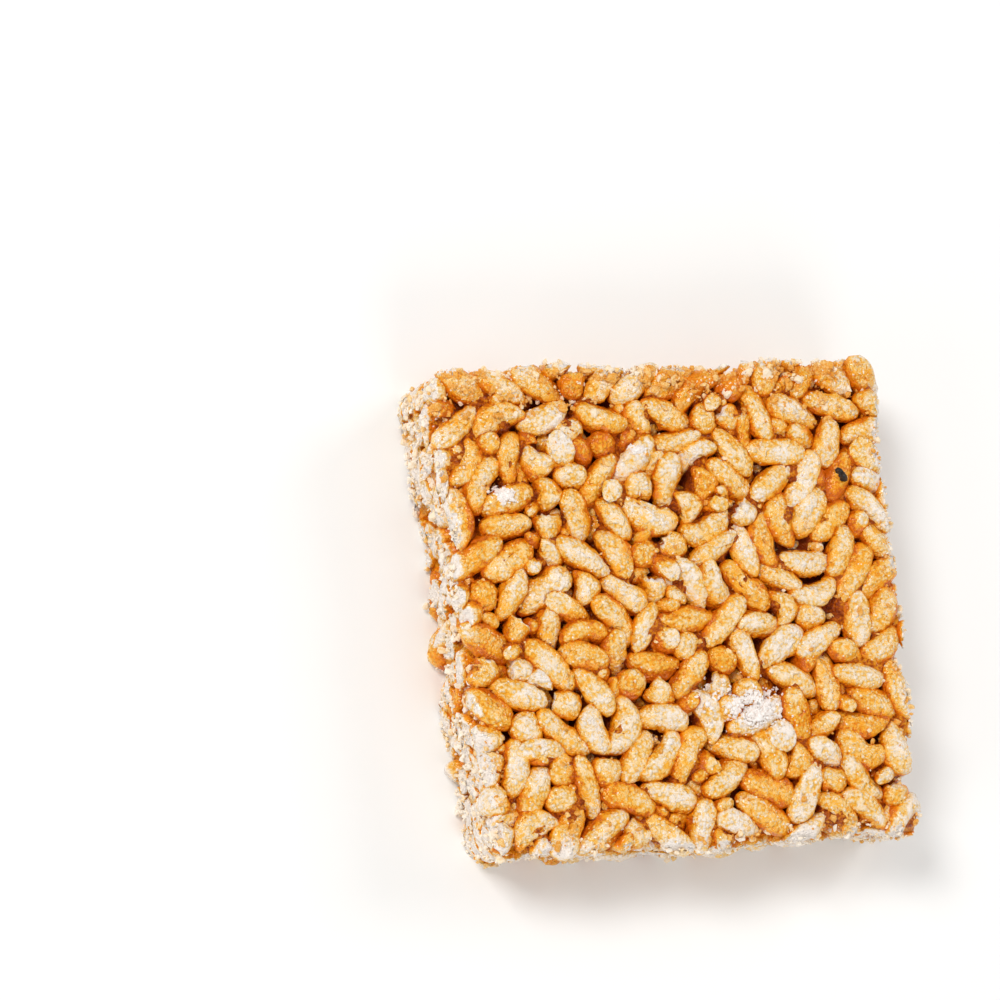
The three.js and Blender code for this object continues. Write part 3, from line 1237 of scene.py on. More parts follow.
@dataclass
class SyrupCore:
    """The core and the syrup that binds the grains, as one closed skin drawn in between them."""

    slab: Slab
    grains: Grains
    step: float = 0.53
    behind: float = 0.6
    deepest: float = 3.6
    blend: float = 0.6
    sunk: float = 0.5
    sunk_at_edges: float = 0.2
    edge_band: float = 1.6
    sunk_spread: float = 0.15
    sunk_patch: float = 6.0
    smoothing: float = 0.5
    watched: int = 9
    rounds: int = 16
    strip_pitch: float = 1.2
    cell_margin: float = 0.01
    weld: float = 1e-5

    def sides(self) -> list[Side]:
        """Lists the six sides of the box.

        Returns:
            The top, the underside and the four walls.
        """
        wide, long, tall = self.slab.width, self.slab.length, self.slab.thickness
        quarter = math.pi / 2
        strip = tall / long / 2
        faces = [
            Side(Matrix.Identity(4), wide, long, (0.0, 0.0, 0.5, 0.5)),
            Side(Matrix.Rotation(math.pi, 4, "X"), wide, long, (0.5, 0.0, 0.5, 0.5)),
        ]
        for k in range(4):
            turn = Matrix.Rotation(k * quarter, 4, "Z") @ Matrix.Rotation(quarter, 4, "X")
            cell = (0.5 * (k % 2), 0.5 + strip * self.strip_pitch * (k // 2), 0.5, strip)
            faces.append(Side(turn, wide if k % 2 == 0 else long, tall, cell))
        return faces

    def box(self) -> bmesh.types.BMesh:
        """Makes the gridded box from -1 to 1 with its map, in one closed skin.

        Returns:
            The box.
        """
        bm = bmesh.new()
        layer = bm.loops.layers.uv.new(BAKE_MAP)
        least, spread = self.cell_margin, 1.0 - 2.0 * self.cell_margin
        for side in self.sides():
            made = bmesh.ops.create_grid(
                bm,
                x_segments=round(side.across / self.step),
                y_segments=round(side.along / self.step),
                size=1.0,
                matrix=side.turn @ Matrix.Translation((0.0, 0.0, 1.0)),
                calc_uvs=True,
            )
            u, v, wide, high = side.cell
            for face in {face for vert in made["verts"] for face in vert.link_faces}:
                for loop in face.loops:
                    place = loop[layer].uv
                    across, along = least + spread * place.x, least + spread * place.y
                    loop[layer].uv = (u + across * wide, v + along * high)
        bmesh.ops.remove_doubles(bm, verts=bm.verts[:], dist=self.weld)
        bmesh.ops.recalc_face_normals(bm, faces=bm.faces[:])
        return bm

    def field(self, places: Array, near: Array, sunk: Array) -> Array:
        """Returns the distance to the syrup's skin, which fills the crevices between the grains."""
        apart = self.grains.distance(places, near)
        return -self.blend * np.log(np.exp(-apart / self.blend).sum(axis=1)) + sunk

    def draw_in(self, places: Array) -> tuple[Array, Array]:
        """Draws places in between the grains.

        Args:
            places: on the slab's surface.

        Returns:
            The new places and how deep each went.
        """
        inward = -self.slab.outward(places)
        near = self.grains.nearest(places + inward * self.deepest / 3, self.grains.left, self.watched)
        inner = np.clip(-self.slab.beyond_outline(places) / self.edge_band, 0.0, 1.0)
        sunk = self.sunk_at_edges + (self.sunk - self.sunk_at_edges) * inner
        sunk = sunk + self.sunk_spread * Ripple(self.sunk_patch, Seed.SYRUP)(places)
        depth = np.zeros(len(places))
        for _ in range(self.rounds):
            depth = depth + np.maximum(self.field(places + depth[:, None] * inward, near, sunk), 0.0)
            depth = np.minimum(depth, self.deepest)
        return places + depth[:, None] * inward, depth

    def build(self) -> bpy.types.Object:
        """Makes the core, with how deep it lies and how near a wall stored for its material.

        Returns:
            The object.
        """
        bm = self.box()
        box = np.array([vert.co[:] for vert in bm.verts])
        places, depth = self.draw_in(self.slab.skin(box, self.behind))
        for vert, place in zip(bm.verts, self.slab.to_part(places)):
            vert.co = place
        axes = {"use_axis_x": True, "use_axis_y": True, "use_axis_z": True}
        bmesh.ops.smooth_vert(bm, verts=bm.verts[:], factor=self.smoothing, **axes)
        mesh = bpy.data.meshes.new("syrup_core")
        bm.to_mesh(mesh)
        log.info("syrup_core: %d triangles", len(bm.faces) * 2)
        bm.free()
        mesh.polygons.foreach_set("use_smooth", np.ones(len(mesh.polygons), dtype=bool))
        piece = placed("syrup_core", mesh)
        wall = 1.0 + (self.slab.beyond_outline(places) + depth) / self.edge_band
        # Depth darkens the syrup's colour: painted shade deep in the crevices.
        write_attribute(piece, "depth", depth)
        write_attribute(piece, "wall", np.clip(wall, 0.0, 1.0))
        return piece


@dataclass(frozen=True)
class Grading:
    """The widths of a batch of crumbs: the middle one, how far they spread, the least and the most."""

    middle: float
    spread: float
    least: float
    most: float

    def draw(self, count: int, rng: np.random.Generator) -> Array:
        """Returns the widths of some crumbs."""
        return np.clip(rng.lognormal(math.log(self.middle), self.spread, count), self.least, self.most)


@dataclass(frozen=True)
class Clump:
    """A clump of starch: where it lies on the shown face, its size and its share of the granules."""

    x: float
    y: float
    size: float
    share: float


@dataclass
class Crumbs:
    """Crumbs of broken grain that cling to the cuts, to the edges and here and there to the faces."""

    slab: Slab
    grains: Grains
    watched: int = 8
    lift: float = 0.4
    furthest: float = 2.6
    falls: int = 12
    bed: float = 0.4
    tries: int = 16
    on_faces: float = 0.03
    on_walls: float = 0.4
    coarse_share: float = 0.35
    rim: float = 0.3
    edge_band: float = 2.2
    wall_patch: float = 2.6
    crust_side: float = 29.0
    crust_width: float = 3.0
    crust_patch: float = 3.2
    shade_patch: float = 2.4
    wall_pallor: float = 0.5
    crust_pallor: float = -0.95
    stretch: tuple[float, float] = (0.4, 1.35)
    lump_size: float = 1.7
    lumps: float = 0.3
    grit: float = 0.14
    seed_spread: float = 50.0
    fine_widths: Grading = Grading(0.42, 0.42, 0.18, 1.2)
    coarse_widths: Grading = Grading(0.66, 0.35, 0.4, 1.5)
    starch_widths: Grading = Grading(0.38, 0.35, 0.2, 0.9)
    heaped: float = 0.6
    clump_form: tuple[float, float] = (0.5, 0.34)
    clumps: tuple[Clump, ...] = (
        Clump(9.6, -14.6, 3.6, 0.62),
        Clump(4.6, -12.9, 2.4, 0.2),
        Clump(-4.3, 21.0, 1.0, 0.05),
        Clump(-24.0, 15.5, 1.6, 0.13),
    )
    charred: tuple[tuple[float, float], ...] = ((24.9, 17.3), (25.1, 16.8), (25.3, 16.3))
    charred_widths: tuple[float, ...] = (0.9, 1.0, 0.95)

    def landed(self, places: Array, inward: Array) -> Array:
        """Moves places inwards until they meet a grain.

        Args:
            places: just outside the slab.
            inward: unit vectors.

        Returns:
            The new places.
        """
        near = self.grains.nearest(places, self.grains.left, self.watched)
        depth = np.zeros(len(places))
        for _ in range(self.falls):
            here = places + depth[:, None] * inward
            apart = np.maximum(self.grains.distance(here, near).min(axis=1), self.slab.beyond(here))
            depth = np.minimum(depth + np.maximum(apart, 0.0), self.furthest)
        return places + depth[:, None] * inward

    def scattered(self, count: int, rng: np.random.Generator, on_faces: float, on_walls: float) -> Array:
        """Scatters places over the slab: in patches at the cuts, thick on one rim, sparse on the faces.

        Args:
            count: how many at most.
            rng: the random draws.
            on_faces: the share of the tries on the faces that is kept.
            on_walls: the share of the tries on the walls that is kept.

        Returns:
            The places.
        """
        places = self.slab.scattered(count * self.tries, rng)
        from_edge = np.maximum(-self.slab.beyond_outline(places) - self.rim, 0.0)
        patches = 0.6 + 0.5 * Ripple(self.wall_patch, Seed.WALL_PATCHES)(places)
        wanted = on_faces + on_walls * np.exp(-from_edge / self.edge_band) * patches
        crust = (places[:, 1] - self.slab.middle[1] - self.crust_side) / self.crust_width
        crust = crust + 0.9 * Ripple(self.crust_patch, Seed.CRUST_PATCHES)(places)
        wanted = np.maximum(wanted, np.clip(crust + 0.6, 0.0, 1.0) * (from_edge > 0.0))
        return places[rng.random(len(places)) < wanted][:count]

    def pebbles(
        self, name: str, places: Array, widths: Array, subdivisions: int, seed: int, heap: Array | float = 0.0
    ) -> bpy.types.Object:
        """Makes an object of uneven pebbles bedded in what they lie on.

        Args:
            name: of the object.
            places: the middles of the pebbles before they land.
            widths: their widths.
            subdivisions: how finely each is made.
            seed: of their random shapes.
            heap: how high each lies over the first layer.

        Returns:
            The object.
        """
        rng, count = np.random.default_rng(seed), len(places)
        template = Template.pebble(subdivisions)
        outward = self.slab.outward(places)
        rise = widths * (0.5 - self.bed) + heap
        middles = self.landed(places + self.lift * outward, -outward) + outward * rise[:, None]
        turn = np.linalg.qr(rng.normal(size=(count, 3, 3)))[0]
        shape = template.points[None] * rng.uniform(*self.stretch, (count, 1, 3))
        apart = rng.uniform(-self.seed_spread, self.seed_spread, (count, 1, 3))
        lumps = 1.0 + self.lumps * Ripple(self.lump_size, seed)(template.points[None] + apart)
        lumps = lumps + self.grit * rng.uniform(-1, 1, shape.shape[:2])
        shape = np.einsum("nij,npj->npi", turn, shape * lumps[..., None]) * (widths / 2)[:, None, None]
        piece = joined_copies(name, template, middles[:, None] + shape, self.slab, smooth=False)
        write_attribute(piece, "pallor", np.repeat(self.pallors(places, middles, rng), len(template.points)))
        log.info("%s: %d crumbs, %d triangles", name, count, count * template.triangles)
        return piece

    def pallors(self, places: Array, middles: Array, rng: np.random.Generator) -> Array:
        """Draws how pale each crumb is: mostly white on the walls and toasted on the shown face.

        Args:
            places: the middles of the crumbs before they land.
            middles: the middles after.
            rng: the random draws.

        Returns:
            One number for each crumb, from -1 toasted to 1 white.
        """
        high = np.clip(places[:, 2] - self.slab.thickness + 1.0, 0.0, 1.0)
        patches = 0.9 * Ripple(self.shade_patch, Seed.CRUMB_SHADES)(middles)
        patches = patches + 0.5 * rng.uniform(-1, 1, len(places)) + self.wall_pallor
        return np.clip(patches + (self.crust_pallor - self.wall_pallor) * high, -1.0, 1.0)

    def fine(self, count: int = 8200) -> bpy.types.Object:
        """Makes the fine crumbs, as small as sand.

        Args:
            count: how many at most.

        Returns:
            The object.
        """
        rng = np.random.default_rng(Seed.FINE_CRUMBS)
        widths = self.fine_widths.draw(count, rng)
        places = self.scattered(count, rng, self.on_faces, self.on_walls)
        return self.pebbles("fine_crumbs", places, widths, 1, Seed.FINE_SHAPES)

    def coarse(self, count: int = 1050) -> bpy.types.Object:
        """Makes the coarse crumbs, broken bits of grain.

        Args:
            count: how many at most.

        Returns:
            The object.
        """
        rng = np.random.default_rng(Seed.COARSE_CRUMBS)
        widths = self.coarse_widths.draw(count, rng)
        places = self.scattered(count, rng, 0.0, self.coarse_share * self.on_walls)
        return self.pebbles("coarse_crumbs", places, widths, 2, Seed.COARSE_SHAPES)

    def starch(self, count: int = 1900) -> bpy.types.Object:
        """Makes clumps of white starch granules, one large and some small, on the shown face.

        Args:
            count: about how many granules.

        Returns:
            The object.
        """
        rng = np.random.default_rng(Seed.STARCH)
        largest = self.clumps[0].size
        places, heaps = [], []
        for clump in self.clumps:
            drawn = rng.normal(size=(round(count * clump.share), 2))
            heap = self.heaped * clump.size / largest * rng.random(len(drawn))
            heaps.append(heap * np.exp(-(drawn**2).sum(axis=1) / 2))
            spots = drawn * clump.size * np.array(self.clump_form)
            middle = np.array([clump.x + self.slab.middle[0], clump.y + self.slab.middle[1]])
            places.append(self.on_face(spots + middle))
        places = np.concatenate(places) + np.array([0.0, 0.0, self.slab.face_slack])
        widths = self.starch_widths.draw(len(places), rng)
        return self.pebbles("starch_clumps", places, widths, 1, Seed.STARCH_SHAPES, np.concatenate(heaps))

    def on_face(self, spots: Array) -> Array:
        """Returns spots, (n, 2), as places at the height of the shown face."""
        return np.column_stack([spots, np.full(len(spots), self.slab.thickness)])

    def burnt(self) -> bpy.types.Object:
        """Makes the one burnt speck, a charred bean of a few lumps.

        Returns:
            The object.
        """
        places = self.on_face(np.array(self.charred) + np.array(self.slab.middle))
        return self.pebbles("burnt_speck", places, np.array(self.charred_widths), 2, Seed.BURNT_SHAPES)


Socket = bpy.types.NodeSocket
Colour = tuple[float, float, float, float]


def linear(code: str) -> Colour:
    """Returns a colour written as six hexadecimal digits, in linear light."""
    values = [int(code[k : k + 2], 16) / 255.0 for k in (0, 2, 4)]
    return (*(((v + 0.055) / 1.055) ** 2.4 if v > 0.04045 else v / 12.92 for v in values), 1.0)


class Dresser:
    """Writes one material, node by node."""

    UNDER, OVER, MIXED = 6, 7, 2  # where a mix node has its colours among sockets of one name

    def __init__(self, name: str) -> None:
        """Starts an empty material.

        Args:
            name: of the material.
        """
        self.material = bpy.data.materials.new(name)
        self.material.use_nodes = True
        self.tree = self.material.node_tree
        self.tree.nodes.clear()
        self.output = self.tree.nodes.new("ShaderNodeOutputMaterial")
        self.shader = self.tree.nodes.new("ShaderNodeBsdfPrincipled")
        self.tree.links.new(self.shader.outputs[0], self.output.inputs["Surface"])
        self.place = self.tree.nodes.new("ShaderNodeTexCoord").outputs["Object"]

    def plug(self, socket: Socket, value: Socket | float | Sequence[float]) -> None:
        """Links a socket to another, or sets it to a constant.

        Args:
            socket: the socket that takes it.
            value: the other socket, or the constant.
        """
        if isinstance(value, bpy.types.NodeSocket):
            self.tree.links.new(value, socket)
        else:
            socket.default_value = value

    def attribute(self, name: str) -> Socket:
        """Reads a number stored on the piece.

        Args:
            name: it is stored under.

        Returns:
            The socket that gives it.
        """
        node = self.tree.nodes.new("ShaderNodeAttribute")
        node.attribute_name = name
        return node.outputs["Fac"]

    def vector(self, name: str) -> Socket:
        """Reads a vector in millimetres stored on the piece.

        Args:
            name: it is stored under.

        Returns:
            The socket that gives it, in metres.
        """
        stored = self.tree.nodes.new("ShaderNodeAttribute")
        stored.attribute_name = name
        node = self.tree.nodes.new("ShaderNodeVectorMath")
        node.operation = "SCALE"
        self.plug(node.inputs["Vector"], stored.outputs["Vector"])
        node.inputs["Scale"].default_value = METRES
        return node.outputs["Vector"]

    def noise(
        self, size: float, detail: float = 2.0, roughness: float = 0.55, at: Socket | None = None
    ) -> Socket:
        """Adds noise from 0 to 1.

        Args:
            size: the width of its lumps in millimetres.
            detail: how many finer noises are laid on it.
            roughness: how strong those are.
            at: the place it is read at, or else the place on the piece.

        Returns:
            The socket that gives it.
        """
        node = self.tree.nodes.new("ShaderNodeTexNoise")
        self.plug(node.inputs["Vector"], at or self.place)
        node.inputs["Scale"].default_value = 1.0 / (size * METRES)
        node.inputs["Detail"].default_value = detail
        node.inputs["Roughness"].default_value = roughness
        return node.outputs["Fac"]

    def cells(self, size: float) -> Socket:
        """Adds the distance to the nearest of many scattered points.

        Args:
            size: how far apart the points are in millimetres, about.

        Returns:
            The socket that gives it, in shares of the size.
        """
        node = self.tree.nodes.new("ShaderNodeTexVoronoi")
        self.plug(node.inputs["Vector"], self.place)
        node.inputs["Scale"].default_value = 1.0 / (size * METRES)
        return node.outputs["Distance"]

    def math(self, operation: str, *values: Socket | float) -> Socket:
        """Adds a sum, product or the like.

        Args:
            operation: as the node names it.
            values: the numbers in order.

        Returns:
            The socket that gives the result.
        """
        node = self.tree.nodes.new("ShaderNodeMath")
        node.operation = operation
        for socket, value in zip(node.inputs, values):
            self.plug(socket, value)
        return node.outputs[0]

    def times(self, a: Socket, b: Socket) -> Socket:
        """Returns the product of two values."""
        return self.math("MULTIPLY", a, b)

    def centred(self, noise: Socket) -> Socket:
        """Returns noise moved from 0 to 1 to lie round nought."""
        return self.math("SUBTRACT", noise, 0.5)

    def total(self, start: Socket | float, *terms: tuple[Socket, float]) -> Socket:
        """Adds a weighted sum of values.

        Args:
            start: what the sum starts from.
            terms: each value with its weight.

        Returns:
            The socket that gives the sum.
        """
        running = start
        for value, weight in terms:
            running = self.math("MULTIPLY_ADD", value, weight, running)
        return running

    def ramp(self, value: Socket, stops: Sequence[tuple[float, str]]) -> Socket:
        """Adds a row of colours.

        Args:
            value: which is looked up along it.
            stops: the colours, each with its place from 0 to 1.

        Returns:
            The socket that gives the colour.
        """
        node = self.tree.nodes.new("ShaderNodeValToRGB")
        elements = node.color_ramp.elements
        while len(elements) < len(stops):
            elements.new(1.0)
        for element, (place, colour) in zip(elements, stops):
            element.position = place
            element.color = linear(colour)
        self.plug(node.inputs["Fac"], value)
        return node.outputs["Color"]

    def step(self, value: Socket, low: float, high: float, to: tuple[float, float] = (0.0, 1.0)) -> Socket:
        """Stretches a value to another range, smoothly and held at its ends.

        Args:
            value: the value.
            low: where the range starts.
            high: where it ends.
            to: what it is at the start and at the end.

        Returns:
            The socket that gives it.
        """
        node = self.tree.nodes.new("ShaderNodeMapRange")
        node.interpolation_type = "SMOOTHSTEP"
        self.plug(node.inputs["Value"], value)
        for name, number in zip(("From Min", "From Max", "To Min", "To Max"), (low, high, *to)):
            node.inputs[name].default_value = number
        return node.outputs["Result"]

    def mix(self, share: Socket, under: Colour, over: Colour) -> Socket:
        """Lays one colour on another.

        Args:
            share: how much of the second shows.
            under: the first colour.
            over: the second.

        Returns:
            The socket that gives the colour.
        """
        node = self.tree.nodes.new("ShaderNodeMix")
        node.data_type = "RGBA"
        self.plug(node.inputs["Factor"], share)
        self.plug(node.inputs[self.UNDER], under)
        self.plug(node.inputs[self.OVER], over)
        return node.outputs[self.MIXED]

    def bump(self, height: Socket, depth: float) -> Socket:
        """Roughens the surface.

        Args:
            height: from 0 to 1.
            depth: how deep that is in millimetres.

        Returns:
            The socket that gives the normal.
        """
        node = self.tree.nodes.new("ShaderNodeBump")
        node.inputs["Strength"].default_value = 1.0
        node.inputs["Distance"].default_value = depth * METRES
        self.plug(node.inputs["Height"], height)
        return node.outputs["Normal"]

    def finish(self, **inputs: Socket | float | Sequence[float]) -> bpy.types.Material:
        """Sets the shader's sockets.

        Args:
            inputs: their values, by their names with underscores for spaces.

        Returns:
            The material.
        """
        for name, value in inputs.items():
            label = name.replace("_", " ").title().replace("Ior", "IOR")
            self.plug(self.shader.inputs[label], value)
        return self.material


@dataclass(frozen=True)
class Toasting:
    """The colours of puffed rice from white starch to burnt syrup, by how much syrup and painted shade lie on
    it.
    """

    stops: tuple[tuple[float, str], ...] = (
        (0.0, "fff2e6"),
        (0.15, "ffe6c4"),
        (0.3, "ffd486"),
        (0.45, "feb93a"),
        (0.6, "fa9d0c"),
        (0.76, "ea7904"),
        (0.88, "c75402"),
        (1.0, "842700"),
    )


@dataclass(frozen=True)
class PuffedRiceFinish:
    """Puffed grain: frosted white on top; golden flanks and orange seams, partly syrup, partly painted shade.

    The sizes and reliefs are in millimetres. Most of the rest are weights, which say how far each thing
    moves the colour along the toasting. The cap on the painted shade and syrup in the seams, and reddest,
    are limits, and soft is how gently the second of them holds.
    """

    toasting: Toasting = Toasting()
    region_size: float = 7.0
    broad_size: float = 2.4
    lump_size: float = 1.6
    speck_size: float = 1.0
    pore_size: float = 0.65
    mottle_size: float = 0.55
    bubble_size: float = 0.5
    grit_size: float = 0.3
    relief: float = 0.5
    glaze_relief: float = 0.14
    base: float = 0.5
    # Flank, deep, seam, cleft, line and the cap after them: painted shade, with some syrup at seams and
    # flanks.
    flank: float = 0.2
    deep: float = 0.06
    seam: float = 0.15
    cleft: float = 0.14
    line: float = 0.2
    most_shade_and_syrup: float = 0.32
    pallor: float = -0.06
    glaze: float = 0.2
    region: float = 0.55
    broad: float = 0.35
    mottle: float = 0.45
    grit: float = 0.7
    frost: float = -0.33
    plate: float = -0.42
    pore: float = 0.3
    # speck: white specks, partly starch grains, partly painted glints.
    speck: float = -0.45
    pressed: float = -0.07
    edge: float = -0.28
    bubble: float = 0.28
    soft: float = 0.2
    # crevice: painted shade in the hollows of the fine relief.
    crevice: float = 0.13
    reddest: float = 0.83
    paler_walls: float = -0.14
    paler_crust: float = -0.1
    crust: float = 0.16
    # How much lower the cap on painted shade and syrup lies near the walls.
    less_shade_and_syrup_at_edges: float = -0.24

    def make(self) -> bpy.types.Material:
        """Writes the material.

        Returns:
            The material.
        """
        d = Dresser("puffed_rice")
        flank, pallor, plate = d.attribute("flank"), d.attribute("pallor"), d.attribute("plate")
        pressed, crust, touch = d.attribute("pressed"), d.attribute("crust"), d.attribute("seam")
        edge = d.math("POWER", d.attribute("edge"), 3.0)
        broad, lumps = d.noise(self.broad_size, 2), d.noise(self.lump_size, 3, 0.6)
        mottle = d.noise(self.mottle_size, 3, 0.65, at=d.vector("streaks"))
        grit, bubbles = d.noise(self.grit_size, 2, 0.75), d.cells(self.bubble_size)
        # Masks for painted shade where grains meet: seam is partly syrup, partly painted shade; cleft is a
        # painted dark band in the contact and line a painted thin dark line along it.
        seam = d.times(touch, d.step(flank, 0.1, 0.6, (0.3, 1.0)))
        cleft = d.times(d.math("POWER", seam, 1.6), d.step(flank, 0.3, 0.9))
        line = d.times(d.step(seam, 0.84, 1.0), d.step(flank, 0.45, 0.95))
        frost = d.total(
            d.math("MULTIPLY_ADD", d.attribute("frosting"), 0.1, lumps),
            (flank, -0.3),
            (d.centred(grit), 0.9),
            (seam, -0.1),
            (plate, 0.2),
            (pressed, 0.1),
            (edge, 0.14),
            (crust, -0.08),
        )
        rough = d.times(bubbles, d.step(lumps, 0.4, 0.56, (0.15, 1.0)))
        pores = d.step(d.math("MULTIPLY_ADD", mottle, 0.5, d.cells(self.pore_size)), 0.26, 0.33, (1.0, 0.0))
        # White specks: partly starch grains, partly painted glints.
        specks_and_painted_glints = d.step(d.cells(self.speck_size), 0.1, 0.16, (1.0, 0.0))
        height = d.total(0.0, (mottle, 0.6), (grit, 0.4), (rough, -0.7), (pores, -0.4))
        # Painted shade in the hollows of the fine relief, away from the seams.
        crevices = d.times(d.step(height, 0.0, 0.3, (1.0, 0.0)), d.step(seam, 0.2, 0.7, (1.0, 0.0)))
        # Flanks turned away from the slab's outside go golden: partly syrup, partly painted shade.
        turned = d.total(flank, (d.centred(broad), 1.2), (pallor, -0.15))
        # Painted shade, with some syrup in the seams: darker deep in the slab, near a touching grain, in the
        # clefts and along a thin dark line where grains meet.
        shade_and_syrup = d.total(
            0.0,
            # Painted shade: grains darker the deeper they lie in the slab.
            (d.step(d.attribute("depth"), 1.6, 3.8), self.deep),
            (seam, self.seam),
            (cleft, self.cleft),
            (line, self.line),
        )
        # The cap on that painted shade and syrup, lower near the walls.
        most_shade_and_syrup = d.math("MULTIPLY_ADD", edge, self.less_shade_and_syrup_at_edges, self.most_shade_and_syrup)
        warmth = d.total(
            d.math("ADD", d.math("MINIMUM", shade_and_syrup, most_shade_and_syrup), self.base),
            # Golden flanks: partly syrup, partly painted shade.
            (d.step(turned, 0.15, 0.7), self.flank),
            (pallor, self.pallor),
            (d.attribute("glaze"), self.glaze),
            (d.centred(d.noise(self.region_size, 1)), self.region),
            (d.centred(broad), self.broad),
            (d.centred(mottle), self.mottle),
            (d.times(d.centred(grit), d.step(seam, 0.2, 1.0, (1.0, 0.35))), self.grit),
            (d.step(frost, 0.37, 0.46), self.frost),
            (pressed, self.pressed),
            (edge, self.edge),
            (crust, self.crust),
            # Painted shade in the hollows of the fine relief.
            (crevices, self.crevice),
            (d.math("SUBTRACT", rough, 0.3), self.bubble),
            (plate, self.plate),
            (pores, self.pore),
            # White specks: partly starch grains, partly painted glints.
            (specks_and_painted_glints, self.speck),
        )
        reddest = d.total(self.reddest, (edge, self.paler_walls), (crust, self.paler_crust))
        return d.finish(
            base_color=d.ramp(d.math("SMOOTH_MIN", warmth, reddest, self.soft), self.toasting.stops),
            roughness=d.step(touch, 0.1, 0.9, (0.4, 0.25)),
            specular_ior_level=0.1,
            normal=d.bump(height, self.relief),
            coat_weight=0.6,
            coat_roughness=0.05,
            coat_normal=d.bump(height, self.glaze_relief),
        )


@dataclass(frozen=True)
class SyrupFinish:
    """Malt syrup: glossy amber, with painted shade where it lies deep. Sizes and reliefs are in millimetres.
    """

    stops: tuple[tuple[float, str], ...] = (
        (0.0, "e8981f"),
        (0.3, "cc6a0a"),
        (0.6, "a64604"),
        (1.0, "782a00"),
    )
    base: float = 0.3
    # Painted shade: darker the deeper the syrup lies.
    deep: float = 0.28
    paler_walls: float = -0.4
    uneven: float = 1.6
    grain: float = 2.0
    uneven_size: float = 1.6
    grain_size: float = 0.4
    relief: float = 0.5
    glaze_relief: float = 2.2

    def make(self) -> bpy.types.Material:
        """Writes the material.

        Returns:
            The material.
        """
        d = Dresser("malt_syrup")
        fine, uneven = d.noise(self.grain_size, 3, 0.6), d.noise(self.uneven_size, 2)
        level = d.total(
            self.base,
            # Painted shade: darker the deeper the syrup lies in the crevices.
            (d.attribute("depth"), self.deep),
            (d.attribute("wall"), self.paler_walls),
            (d.centred(uneven), self.uneven),
            (d.centred(fine), self.grain),
        )
        return d.finish(
            base_color=d.ramp(level, self.stops),
            roughness=0.28,
            specular_ior_level=0.05,
            normal=d.bump(fine, self.relief),
            coat_weight=0.6,
            coat_roughness=0.04,
            coat_normal=d.bump(d.math("MULTIPLY_ADD", fine, 0.35, uneven), self.glaze_relief),
        )


@dataclass(frozen=True)
class CrumbFinish:
    """Broken bits of grain: white, cream and golden."""

    stops: tuple[tuple[float, str], ...] = (
        (0.0, "e89c30"),
        (0.25, "f6cb80"),
        (0.5, "fce7c6"),
        (1.0, "fdf3e4"),
    )

    def make(self) -> bpy.types.Material:
        """Writes the material.

        Returns:
            The material.
        """
        d = Dresser("crumb")
        shade = d.math("MULTIPLY_ADD", d.attribute("pallor"), 0.45, d.noise(0.3, 3, 0.7))
        return d.finish(
            base_color=d.ramp(shade, self.stops),
            roughness=0.6,
            specular_ior_level=0.3,
            normal=d.bump(d.noise(0.2, 2), 0.1),
        )


@dataclass(frozen=True)
class StarchFinish:
    """Dry white starch."""

    white: str = "fdf8f3"
    shaded: str = "f3e7df"

    def make(self) -> bpy.types.Material:
        """Writes the material.

        Returns:
            The material.
        """
        d = Dresser("starch")
        colour = d.mix(d.step(d.noise(0.4, 2), 0.35, 0.6), linear(self.shaded), linear(self.white))
        return d.finish(base_color=colour, roughness=0.7, normal=d.bump(d.noise(0.15, 2), 0.04))


@dataclass(frozen=True)
class BurntFinish:
    """A burnt speck, nearly black with a brown edge."""

    black: str = "1d1410"
    brown: str = "5a3216"

    def make(self) -> bpy.types.Material:
        """Writes the material.

        Returns:
            The material.
        """
        d = Dresser("burnt")
        colour = d.mix(d.step(d.noise(0.5, 3), 0.5, 0.75), linear(self.black), linear(self.brown))
        return d.finish(base_color=colour, roughness=0.5, normal=d.bump(d.noise(0.3, 2), 0.08))


@dataclass(frozen=True)
class Lamp:
    """One soft square lamp: its power in watts, its width and where it stands, in metres."""

    name: str
    power: float
    size: float
    place: tuple[float, float, float]

    def build(self) -> None:
        """Makes the lamp, turned towards the origin."""
        data = bpy.data.lights.new(self.name, "AREA")
        data.energy = self.power
        data.size = self.size
        lamp = placed(self.name, data)
        lamp.location = self.place
        lamp.rotation_euler = Vector(self.place).to_track_quat("Z", "Y").to_euler()


